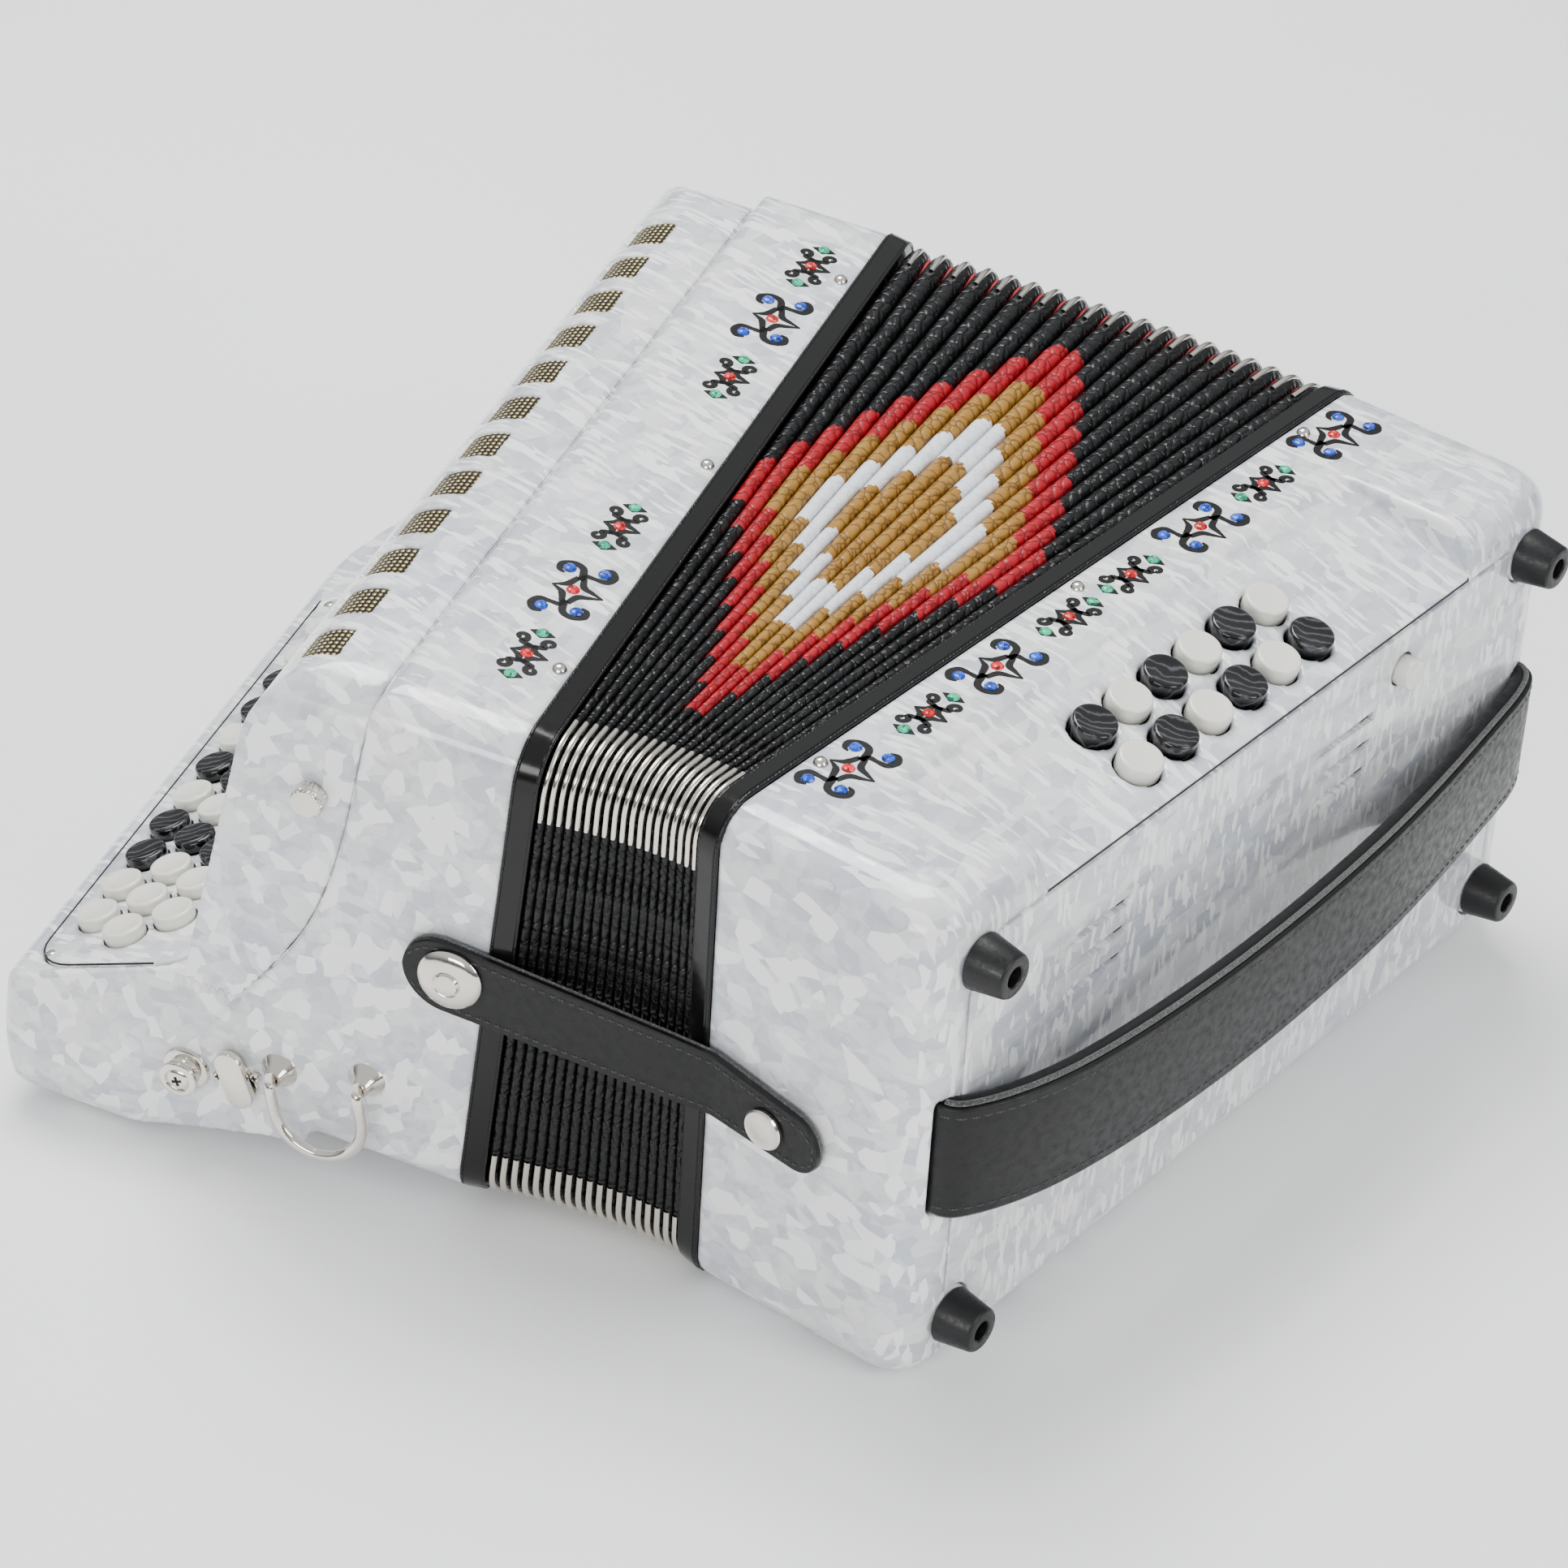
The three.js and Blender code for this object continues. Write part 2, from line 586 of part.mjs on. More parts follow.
// The snap strap, drawn straight across the closed end of the bellows, from the treble case to the bass case.
const snapStrap = () => {
  const { treble, bass, snap, z0, z1, lean, stand, thick } = SNAP_STRAP;
  const onTreble = (x, y) => fanned(new THREE.Vector3(x + CLOSED_SHIFT, y, (z0 + z1) / 2), 1);
  const line = (out) => {
    const y = -HALF - stand - out;
    const path = new THREE.Path();
    const lip = onTreble(-3, y);
    const seat = new THREE.Vector3(6, y, 0);
    const near = lip.clone().lerp(seat, 0.88);
    const start = onTreble(treble, y);
    path.moveTo(start.x, start.y);
    path.lineTo(lip.x, lip.y);
    path.lineTo(near.x, near.y);
    path.quadraticCurveTo(seat.x, seat.y, seat.x + 10, seat.y);
    path.lineTo(bass, y);
    return path.getPoints(8);
  };
  const flat = raise(new THREE.Shape([...line(thick), ...line(0).reverse()]), z0, z1);
  const slant = new THREE.Matrix4().set(1, 0, 0, 0, 0, 1, 0, 0, -lean, 0, 1, lean * snap, 0, 0, 0, 1);
  return flat.applyMatrix4(slant);
};

// ---- assembly ----
const accordion = new THREE.Group();
const bassSide = new THREE.Group();
const trebleFan = new THREE.Group();
const trebleSide = new THREE.Group();
accordion.add(bassSide, trebleFan);
trebleFan.add(trebleSide);
trebleFan.position.copy(FAN_PIVOT);
trebleFan.quaternion.setFromAxisAngle(FAN_AXIS, THREE.MathUtils.degToRad(FAN_ANGLE));
trebleSide.position.set(CLOSED_SHIFT, 0, 0).sub(FAN_PIVOT);

bassSide.add(node('bass_case', bassCase(), pearl()));
bassSide.add(node('bass_end_plate', endPlate(), pearl()));
bassSide.add(node('bass_bellows_frame', bellowsFrame(-FRAME_THICK, -GAP), blackGloss()));
bassSide.add(node('hand_strap', handStrap(), leather()));
footPlaces().forEach(({ y, z }, i) => {
  const mesh = node(`foot_${i + 1}`, foot(), rubber());
  mesh.position.set(BASS_WIDTH + GAP, y, z);
  bassSide.add(mesh);
});
for (const { x, y, column, row } of bassPlaces()) {
  const dark = (row + column) % 2 === 0;
  const look = dark ? blackPearl() : cream();
  const mesh = node(`bass_button_${column + 1}_${row + 1}`, button(BASS_BUTTON_R, 4, 9), look);
  bassSide.add(onBassField(mesh, x, y));
}
const airButton = node('air_button', button(AIR_BUTTON.r, 4, 10).rotateY(Math.PI / 2), cream());
airButton.position.set(BASS_WIDTH, AIR_BUTTON.y, AIR_BUTTON.z);
bassSide.add(airButton);

trebleSide.add(node('treble_case', trebleCase(), pearl()));
trebleSide.add(node('treble_cover', trebleCover(), pearl()));
trebleSide.add(node('treble_bellows_frame', bellowsFrame(GAP, FRAME_THICK), blackGloss()));
trebleSide.add(onBoard(node('treble_button_board', keyBoard(), pearl()), 0, 0));
for (const { row, i, across, y } of keyPlaces().filter(({ fixed }) => !fixed)) {
  const look = KEY_DARK[row][i] === '1' ? blackPearl() : cream();
  const mesh = node(`treble_button_${row + 1}_${i + 1}`, button(KEY_R, KEY_PROUD, 12), look);
  trebleSide.add(onBoard(mesh, across, y));
}
trebleSide.add(node('strap_ring', strapRing(), nickel()));
trebleSide.add(node('turn_latch', turnLatch(), nickel()));

accordion.add(node('bellows', bellows(), leather()));
accordion.add(node('bellows_strap', snapStrap(), leather()));

// The origin is under the middle of the whole instrument, on the surface that it lies on.
const bounds = new THREE.Box3().setFromObject(accordion, true);
const centre = bounds.getCenter(new THREE.Vector3());
accordion.position.set(-centre.x, -centre.y, -bounds.min.z);

export default accordion;
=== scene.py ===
"""The looks of the button accordion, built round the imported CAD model.

Lengths are millimetres until solid() makes a mesh. Three local frames are used, as in the CAD:
the bass side's, whose X starts at the face that meets its bellows frame; the treble side's, likewise;
and the closed instrument, in the bass side's frame, from which the bellows are fanned open.
"""

import json
import math

import bmesh
import bpy
import numpy as np
from mathutils import Matrix, Vector

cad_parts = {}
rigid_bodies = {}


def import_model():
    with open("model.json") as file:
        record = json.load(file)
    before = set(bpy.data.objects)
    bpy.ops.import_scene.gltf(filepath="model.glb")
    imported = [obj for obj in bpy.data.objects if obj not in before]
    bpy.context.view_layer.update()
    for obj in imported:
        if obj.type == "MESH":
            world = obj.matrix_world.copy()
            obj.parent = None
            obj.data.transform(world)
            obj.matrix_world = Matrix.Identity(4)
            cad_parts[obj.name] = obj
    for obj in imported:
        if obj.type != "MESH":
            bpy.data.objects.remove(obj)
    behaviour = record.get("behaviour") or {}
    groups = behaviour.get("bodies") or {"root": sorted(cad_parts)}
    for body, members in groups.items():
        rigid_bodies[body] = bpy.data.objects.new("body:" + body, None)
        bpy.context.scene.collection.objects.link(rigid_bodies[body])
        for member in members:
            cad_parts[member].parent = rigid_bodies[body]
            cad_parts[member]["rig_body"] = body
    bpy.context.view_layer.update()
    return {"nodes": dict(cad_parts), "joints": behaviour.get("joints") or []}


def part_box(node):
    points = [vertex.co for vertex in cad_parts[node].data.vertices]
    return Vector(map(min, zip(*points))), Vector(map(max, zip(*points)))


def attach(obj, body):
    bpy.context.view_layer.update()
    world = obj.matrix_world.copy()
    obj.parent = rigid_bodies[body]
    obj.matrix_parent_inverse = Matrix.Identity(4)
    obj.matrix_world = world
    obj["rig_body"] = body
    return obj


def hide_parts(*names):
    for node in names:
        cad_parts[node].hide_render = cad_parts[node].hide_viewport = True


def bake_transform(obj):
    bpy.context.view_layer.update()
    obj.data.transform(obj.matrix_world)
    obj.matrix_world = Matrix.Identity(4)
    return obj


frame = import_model()

MM = 0.001
rng = np.random.default_rng(7)


def corners(node):
    """A CAD node's lowest and highest corner, in millimetres."""
    low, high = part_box(node)
    return np.array(low) / MM, np.array(high) / MM


# ---- driving dimensions ----
CASE_LOW, CASE_HIGH = corners("bass_case")
MID_X, MID_Y, DEPTH = CASE_LOW[0], (CASE_LOW[1] + CASE_HIGH[1]) / 2, CASE_HIGH[2]
HALF = (CASE_HIGH[1] - CASE_LOW[1]) / 2
BASS_WIDTH = CASE_HIGH[0] - CASE_LOW[0]
FAN = next(joint for joint in frame["joints"] if joint["name"] == "bellows_fan")
PIVOT = np.array(FAN["pos_m"]) / MM
AXIS = np.array(FAN["axis"]) / np.linalg.norm(FAN["axis"])
OPEN = math.radians(-FAN["range_deg"][0])

EDGE_ROUND = 13          # rounding of the cases' front and back edges
FRAME_THICK = 7
FRAME_RIM = 17
FOLDS = 19
FOLD_CLOSED = 2.85
FOLD_DEPTH = 12
BELLOWS_START = -FRAME_THICK - 0.3
BELLOWS_RUN = FOLDS * FOLD_CLOSED - 0.6
CLOSED_SHIFT = -2 * FRAME_THICK - FOLDS * FOLD_CLOSED

RECESS_START, RECESS_DROP, RECESS_STEP, RECESS_HALF = 26.3, 14, 1.5, 109
RECESS_SLOPE = math.atan(RECESS_DROP / (BASS_WIDTH - RECESS_START))
BASS_PITCH, BASS_FIRST_Y, BASS_FIRST_X, BASS_BUTTON_R = 17.44, -46.5, 46.2, 7
FOOT_Y, FOOT_Z, FOOT_R, FOOT_LONG = 140.2, (21.8, 149.5), 9.4, 12
AIR_BUTTON = (BASS_WIDTH, 73.2, 140)
VENT_Y, VENT_Z = (-66.5, 59.5), (111, 120.5, 130)
STRAP_Z, STRAP_BOW, STRAP_SLOT_Y = (64.5, 103.5), 22, 148.5

COVER_TOP = DEPTH - 3
COVER_HALF = HALF - 1.5
COVER_ROUND = 18         # rounding of the cover's front edges
BOARD_SLOPE = math.radians(24)
BOARD_EDGE = (-146, 26.2)
BOARD_WIDE, BOARD_Y, BOARD_ROUND = 58, (-154.5, 63), 14
KEY_PITCH, KEY_ROW_GAP, KEY_FIRST_Y, KEY_FIRST_ROW = 16.74, 13.3, -130.6, 13
KEY_R, KEY_PROUD = 6.6, 4
KEY_DARK = ("00110101100", "000101010100", "00100100100")
RING_POSTS = ((-60.2, 26.3), (-32.7, 34.3))
LATCH_X, LATCH_Z, LATCH_HALF, LATCH_LEAN = -73.2, 18.8, 10, math.radians(24)
LATCH_BASE_TURN = 0.35   # how far the latch's plate is turned from the X axis, radians
THUMB_X, THUMB_Z = -59.9, 130
STRAP_BUTTON_X, STRAP_BUTTON_Z = -90, 13.8
WASHER_X, WASHER_Z = -9.6, 86.6
SNAP_TREBLE, SNAP_BASS, SNAP_X, SNAP_Z, SNAP_STAND = -24, 45, 26, 78.4, 2.3
SNAP_LEAN = 0.155        # how fast the strap climbs towards the treble side
SLOT_COUNT, SLOT_PITCH, SLOT_WIDE, SLOT_SHIFT = 12, 22.9, 14.4, -7.5


# ---- the three frames ----
def bass(points):
    return np.asarray(points, float) + (MID_X, MID_Y, 0)


def fanned(points, part):
    """Where the fan carries points of the closed instrument: part is 0 at the bass side, 1 at the treble."""
    p = bass(points) - PIVOT
    angle = (np.ones(p.shape[:-1]) * part * OPEN)[..., None]
    along = (p @ AXIS)[..., None] * AXIS
    return PIVOT + p * np.cos(angle) + np.cross(AXIS, p) * np.sin(angle) + along * (1 - np.cos(angle))


def treble(points):
    return fanned(np.asarray(points, float) + (CLOSED_SHIFT, 0, 0), 1)


def fold_spacing(y, z):
    """How far apart the folds stand at rest, at a point of the closed bellows."""
    reach = (y + MID_Y - PIVOT[1]) * AXIS[2] - z * AXIS[1]
    return (BELLOWS_RUN + reach * OPEN) / FOLDS


# ---- lines ----
def full_turn(count):
    return np.linspace(0, 2 * math.pi, count, endpoint=False)


def heading(line):
    """The unit direction of a line at each of its points."""
    run = np.gradient(line, axis=0)
    return run / np.linalg.norm(run, axis=1)[:, None]


def travelled(line):
    """How far along a line each of its points lies."""
    return np.concatenate([[0], np.cumsum(np.linalg.norm(np.diff(line, axis=0), axis=1))])


def bezier(points, count):
    n = len(points) - 1
    p = [np.array(q, float) for q in points]
    return [sum(math.comb(n, k) * (1 - t) ** (n - k) * t ** k * p[k] for k in range(n + 1))
            for t in np.linspace(0, 1, count)]


# ---- meshes ----
def grid(n, m, wrap_n=False, wrap_m=True):
    """Quads of n rings of m points."""
    return [
        (i * m + j, i * m + (j + 1) % m, ((i + 1) % n) * m + (j + 1) % m, ((i + 1) % n) * m + j)
        for i in range(n if wrap_n else n - 1)
        for j in range(m if wrap_m else m - 1)
    ]


def tube(rings, closed=False):
    """A closed solid through rings, an array (n, m, 3): capped at both ends, or closed on itself."""
    rings = np.asarray(rings, float)
    n, m = rings.shape[:2]
    faces = grid(n, m, wrap_n=closed)
    if not closed:
        faces += [tuple(range(m))[::-1], tuple(range((n - 1) * m, n * m))]
    return rings.reshape(-1, 3), faces


def lathe(profile, segments=48, wobble=None):
    """Turned about +Z from (radius, height) pairs, the first and last on the axis."""
    turn = full_turn(segments)
    ring = np.stack([np.cos(turn), np.sin(turn)], 1)
    verts, faces = [np.array([[0, 0, profile[0][1]]])], []
    for r, z in profile[1:-1]:
        radius = r + (wobble(turn, r) if wobble else 0)
        spread = np.reshape(radius * np.ones(segments), (-1, 1))
        verts.append(np.column_stack([ring * spread, np.full(segments, z)]))
    verts.append(np.array([[0, 0, profile[-1][1]]]))
    rows = len(profile) - 2
    last = 1 + rows * segments
    for j in range(segments):
        k = (j + 1) % segments
        faces.append((0, 1 + k, 1 + j))
        faces.append((last, last - segments + j, last - segments + k))
        for start in range(1, 1 + (rows - 1) * segments, segments):
            faces.append((start + j, start + k, start + segments + k, start + segments + j))
    return np.concatenate(verts), faces


def joined(parts):
    verts, faces, start = [], [], 0
    for v, f in parts:
        verts.append(v)
        faces += [tuple(start + i for i in face) for face in f]
        start += len(v)
    return np.concatenate(verts), faces


def stood(part, at, axis=(0, 0, 1), turn=0):
    """A part drawn round +Z, turned to stand along axis at a point."""
    verts, faces = part
    spin = Vector((0, 0, 1)).rotation_difference(Vector(axis)).to_matrix() @ Matrix.Rotation(turn, 3, "Z")
    return verts @ np.array(spin).T + at, faces


PLACES = {"bass_side": bass, "treble_side": treble}


def solid(name, part, material, body=None, place=None, crease=35, uv=None, replaces=None):
    """A mesh piece from millimetres, riding on body and standing for the CAD node that it replaces."""
    verts, faces = part
    place = place or PLACES.get(body)
    points = place(verts) if place else np.asarray(verts, float)
    looks = material if isinstance(material, list) else [material]
    mesh = bpy.data.meshes.new(name)
    mesh.from_pydata((points * MM).tolist(), [], [list(map(int, face)) for face in faces])
    bm = bmesh.new()
    bm.from_mesh(mesh)
    bmesh.ops.recalc_face_normals(bm, faces=bm.faces)
    if uv is not None:
        layer = bm.loops.layers.uv.new("UVMap")
        bm.verts.ensure_lookup_table()
        for face in bm.faces:
            for loop in face.loops:
                loop[layer].uv = uv[loop.vert.index]
    bm.to_mesh(mesh)
    bm.free()
    mesh.shade_smooth()
    mesh.set_sharp_from_angle(angle=math.radians(crease))
    for look in looks:
        mesh.materials.append(look)
    obj = bpy.data.objects.new(name, mesh)
    bpy.context.scene.collection.objects.link(obj)
    if body:
        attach(obj, body)
    if replaces:
        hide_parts(replaces)
    return obj


def fan_piece(obj):
    """Bakes obj's placement into its mesh."""
    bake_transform(obj)
    return obj


def cad_copy(name, node, material):
    """A clean copy of a CAD node's mesh, standing for it."""
    source = frame["nodes"][node]
    mesh = bpy.data.meshes.new(name)
    mesh.from_pydata(
        [tuple(v.co) for v in source.data.vertices], [], [tuple(p.vertices) for p in source.data.polygons])
    bm = bmesh.new()
    bm.from_mesh(mesh)
    bmesh.ops.remove_doubles(bm, verts=bm.verts, dist=1e-6)
    bmesh.ops.dissolve_limit(bm, angle_limit=math.radians(0.5), verts=bm.verts, edges=bm.edges)
    bm.to_mesh(mesh)
    bm.free()
    mesh.materials.append(material)
    obj = bpy.data.objects.new(name, mesh)
    bpy.context.scene.collection.objects.link(obj)
    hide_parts(node)
    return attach(obj, source["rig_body"])


def applied(obj, crease=None):
    """Turns an object's modifiers into its mesh."""
    shape = obj.evaluated_get(bpy.context.evaluated_depsgraph_get())
    mesh = bpy.data.meshes.new_from_object(shape)
    obj.modifiers.clear()
    obj.data = mesh
    mesh.shade_smooth()
    if crease:
        mesh.set_sharp_from_angle(angle=math.radians(crease))
    return obj


def softened(name, node, material, voxel, rounds):
    """A moulded-looking copy of a CAD shell: remeshed finely, with its edges eased."""
    obj = cad_copy(name, node, material)
    remesh = obj.modifiers.new("remesh", "REMESH")
    remesh.mode = "VOXEL"
    remesh.voxel_size = voxel * MM
    ease = obj.modifiers.new("ease", "SMOOTH")
    ease.factor = 0.5
    ease.iterations = rounds
    return applied(obj)


def bevelled(name, node, material, width):
    """A copy of a CAD plate with its sharp edges broken."""
    obj = cad_copy(name, node, material)
    edge = obj.modifiers.new("edge", "BEVEL")
    edge.width = width * MM
    edge.segments = 3
    edge.limit_method = "ANGLE"
    edge.angle_limit = math.radians(40)
    edge.use_clamp_overlap = True
    return applied(obj, crease=40)


# ---- materials ----
class Look:
    """A Principled material with short calls for the nodes that feed it."""

    def __init__(self, name, color, roughness=0.5, metallic=0.0, **constants):
        self.material = bpy.data.materials.new(name)
        self.material.use_nodes = True
        self.tree = self.material.node_tree
        self.shader = self.tree.nodes["Principled BSDF"]
        self.set("Base Color", (*color, 1))
        self.set("Roughness", roughness)
        self.set("Metallic", metallic)
        for key, value in constants.items():
            self.set(key.replace("_", " "), value)

    def feed(self, socket, value):
        if isinstance(value, bpy.types.NodeSocket):
            self.tree.links.new(value, socket)
        else:
            socket.default_value = value

    def set(self, socket, value):
        self.feed(self.shader.inputs[socket], value)

    def node(self, kind, output=0, **values):
        made = self.tree.nodes.new(kind)
        for key, value in values.items():
            socket = made.inputs.get(key.replace("_", " "))
            if socket is None:
                setattr(made, key, value)
            else:
                self.feed(socket, value)
        return made.outputs[output]

    def where(self, kind="Object", scale=(1, 1, 1), rotation=(0, 0, 0)):
        source = self.node("ShaderNodeTexCoord", kind)
        return self.node("ShaderNodeMapping", Vector=source, Scale=scale, Rotation=rotation)

    def noise(self, at, scale, detail=3, roughness=0.55, output="Fac"):
        return self.node(
            "ShaderNodeTexNoise", output, Vector=at, Scale=scale, Detail=detail, Roughness=roughness)

    def voronoi(self, at, scale, output="Distance", feature="F1", randomness=1.0):
        return self.node(
            "ShaderNodeTexVoronoi", output, feature=feature, Vector=at, Scale=scale, Randomness=randomness)

    def math(self, operation, a, b=0.0):
        made = self.tree.nodes.new("ShaderNodeMath")
        made.operation = operation
        for socket, value in zip(made.inputs, (a, b)):
            self.feed(socket, value)
        return made.outputs[0]

    def warped(self, at, scale, amount):
        """Coordinates pushed about by noise, so that cells and lines lose their regularity."""
        push = self.noise(at, scale, output="Color")
        scaled = self.node("ShaderNodeVectorMath", operation="SCALE", Vector=push, Scale=amount)
        made = self.tree.nodes.new("ShaderNodeVectorMath")
        self.tree.links.new(at, made.inputs[0])
        self.tree.links.new(scaled, made.inputs[1])
        return made.outputs[0]

    def ramp(self, value, *stops):
        made = self.tree.nodes.new("ShaderNodeValToRGB")
        self.tree.links.new(value, made.inputs[0])
        points = made.color_ramp.elements
        while len(points) < len(stops):
            points.new(0.5)
        for point, (position, color) in zip(points, stops):
            point.position = position
            point.color = (*color, 1) if len(color) == 3 else color
        return made.outputs[0]

    def mix(self, amount, a, b, blend="MIX"):
        made = self.tree.nodes.new("ShaderNodeMix")
        made.data_type = "RGBA"
        made.blend_type = blend
        for index, value in ((0, amount), (6, a), (7, b)):
            self.feed(made.inputs[index], (*value, 1) if isinstance(value, tuple) else value)
        return made.outputs[2]

    def bump(self, height, strength, distance):
        made = self.tree.nodes.new("ShaderNodeBump")
        made.inputs["Strength"].default_value = strength
        made.inputs["Distance"].default_value = distance
        self.tree.links.new(height, made.inputs["Height"])
        self.set("Normal", made.outputs[0])


def grey(value):
    return (value, value, value)


def pearl_look():
    """White celluloid: angular flakes of bluish grey to white, with bright slivers, under a clear gloss."""
    look = Look("pearl", (0.8, 0.81, 0.83), 0.16, Coat_Weight=0.4, Coat_Roughness=0.05)
    at = look.where("Object", (1.0, 0.62, 1.25), (0.5, 0.3, 0.7))
    bent = look.warped(at, 60, 0.004)
    flakes = look.voronoi(bent, 150, "Color")
    small = look.voronoi(look.warped(at, 90, 0.003), 310, "Color")
    drift = look.noise(at, 22, 4, 0.6)
    cloud = look.noise(look.warped(at, 14, 0.04), 55, 5, 0.62)
    shade = look.math("ADD", look.math("MULTIPLY", flakes, 0.5), look.math("MULTIPLY", cloud, 0.25))
    shade = look.math("ADD", shade, look.math("MULTIPLY", small, 0.25))
    base = look.ramp(
        shade, (0.33, (0.49, 0.51, 0.55)), (0.45, (0.575, 0.59, 0.615)), (0.55, (0.64, 0.645, 0.655)),
        (0.68, (0.72, 0.72, 0.72)))
    blue = look.ramp(drift, (0.35, (0.92, 0.95, 1.0)), (0.65, (1.0, 0.995, 0.975)))
    tinted = look.mix(0.8, base, blue, "MULTIPLY")
    thin = look.where("Object", (0.35, 1.6, 0.5), (0.9, 0.4, 0.8))
    slivers = look.ramp(
        look.voronoi(look.warped(thin, 60, 0.006), 330, "Color"), (0.62, grey(0)), (0.70, grey(1)))
    look.set("Base Color", look.mix(slivers, tinted, (0.86, 0.86, 0.86)))
    look.set("Roughness", look.ramp(flakes, (0.3, grey(0.12)), (0.7, grey(0.24))))
    look.bump(look.noise(at, 40, 2), 0.12, 0.0015)
    return look.material


def leather_look(name, dark, light, roughness, wrinkle, scale=1.0, lump=0.0012):
    """Glazed bookbinder's tape or leather: fine creases, with painted shade that darkens the colour into the creases
    and leaves it light on the high spots.
    """
    look = Look(name, light, roughness, Specular_IOR_Level=0.3)
    at = look.where("UV")
    bent = look.warped(at, 170 * scale, 0.0035 / scale)
    creases = look.voronoi(bent, 230 * scale, "Distance", "DISTANCE_TO_EDGE")
    folds = look.voronoi(look.warped(at, 90 * scale, 0.006 / scale), 120 * scale, "Distance", "SMOOTH_F1")
    fine = look.noise(at, 1500, 3, 0.7)
    high = look.math("MINIMUM", look.math("MULTIPLY", creases, 5.0), 1.0)
    height = look.math("ADD", look.math("MULTIPLY", high, 0.35), look.math("MULTIPLY", folds, 1.1))
    height = look.math("ADD", height, look.math("MULTIPLY", fine, 0.10))
    # painted shade: the colour goes from dark in the creases to light on the high spots
    look.set("Base Color", look.mix(look.ramp(high, (0.0, grey(0)), (0.45, grey(1))), dark, light))
    spread = look.noise(at, 320, 2)
    look.set("Roughness", look.ramp(
        spread, (0.3, grey(max(roughness - 0.12, 0))), (0.7, grey(roughness + 0.12))))
    look.bump(height, wrinkle, lump)
    return look.material


def metal_look(name, color, roughness):
    look = Look(name, color, roughness, 1.0)
    at = look.where("Object")
    spots = look.noise(at, 900, 3, 0.6)
    look.set("Roughness", look.ramp(spots, (0.35, grey(roughness * 0.6)), (0.8, grey(roughness * 1.9))))
    tint = look.noise(at, 160, 2)
    warm = tuple(c * f for c, f in zip(color, (1.0, 0.95, 0.86)))
    look.set("Base Color", look.mix(tint, color, warm))
    look.bump(look.noise(at, 420, 2), 0.05, 0.0004)
    return look.material


def plain_look(name, color, roughness, grain, strength, variation=0.12, **constants):
    """A moulded or painted surface with slight unevenness and handling marks."""
    look = Look(name, color, roughness, **constants)
    at = look.where("Object")
    cloud = look.noise(at, grain * 0.25, 4, 0.6)
    darker = tuple(c * (1 - variation) for c in color)
    look.set("Base Color", look.mix(cloud, darker, color))
    marks = look.noise(at, grain * 1.7, 3)
    look.set("Roughness", look.ramp(
        marks, (0.3, grey(roughness * 0.75)), (0.75, grey(min(roughness * 1.35, 1)))))
    look.bump(look.noise(at, grain, 3), strength, 0.0006)
    return look.material


def black_pearl_look():
    """Black celluloid with bands of grey that sweep across each button."""
    look = Look("black_pearl", (0.005, 0.005, 0.005), 0.1, Specular_IOR_Level=0.5)
    at = look.where("Object", (1, 1, 1), (0.3, 0.2, 0.9))
    bands = look.node(
        "ShaderNodeTexWave", "Fac", Vector=look.warped(at, 70, 0.006), Scale=120, Distortion=5, Detail=3)
    look.set("Base Color", look.ramp(
        bands, (0.0, grey(0.002)), (0.6, (0.004, 0.004, 0.005)), (0.85, (0.014, 0.014, 0.016)),
        (0.97, (0.055, 0.055, 0.06))))
    look.bump(look.noise(at, 90, 2), 0.05, 0.0005)
    return look.material


def gem_look(name, color):
    look = Look(name, color, 0.08, 0.0, Specular_IOR_Level=0.45)
    at = look.where("Object")
    # painted glints and shade: random cells of each stone darker or paler than its colour, as lit and shaded facets
    cells = look.voronoi(at, 900, "Color")
    dark = tuple(c * 0.25 for c in color)
    pale = tuple(min(1, c * 1.3 + 0.06) for c in color)
    look.set("Base Color", look.ramp(cells, (0.15, dark), (0.55, color), (0.93, pale)))
    return look.material


def mesh_look():
    """Woven gold grille cloth: square threads, with painted shade darkening the gold down their sides to near black
    in the holes between them.
    """
    look = Look("grille_mesh", (0.5, 0.4, 0.14), 0.35, 0.7)
    at = look.where("UV")
    height = None
    for direction in ("X", "Y"):
        wave = look.node(
            "ShaderNodeTexWave", "Fac", bands_direction=direction, wave_profile="SIN", Vector=at, Scale=152)
        height = wave if height is None else look.math("MULTIPLY", height, wave)
    shade = look.noise(look.where("Object"), 90, 2)
    # painted shade: near black between the threads, darker down their sides, full gold on their tops
    gold = look.ramp(
        height, (0.1, (0.012, 0.01, 0.006)), (0.28, (0.25, 0.19, 0.07)), (0.62, (0.78, 0.66, 0.34)))
    look.set("Base Color", look.mix(shade, gold, look.mix(0.6, gold, (0.62, 0.55, 0.3), "MULTIPLY")))
    look.bump(height, 0.7, 0.0006)
    return look.material


def thread_look():
    look = Look("thread", (0.012, 0.012, 0.013), 0.6)
    at = look.where("Object")
    twist = look.node("ShaderNodeTexWave", "Fac", Vector=at, Scale=500, bands_direction="DIAGONAL")
    # painted shade and highlight: the twist's grooves darker and its ridges lighter, following the bump
    look.set("Base Color", look.ramp(twist, (0.2, grey(0.006)), (0.8, grey(0.05))))
    look.bump(twist, 0.5, 0.0003)
    return look.material


def flock_look():
    """The grey cut edge of leather: short fibres catching the light."""
    look = Look("cut_edge", (0.12, 0.12, 0.12), 0.9, Sheen_Weight=0.5, Sheen_Roughness=0.5)
    at = look.where("Object")
    fibres = look.noise(at, 1400, 3, 0.8)
    look.set("Base Color", look.ramp(
        fibres, (0.4, grey(0.004)), (0.56, (0.03, 0.03, 0.028)), (0.74, grey(0.3))))
    look.bump(fibres, 1.0, 0.0012)
    return look.material


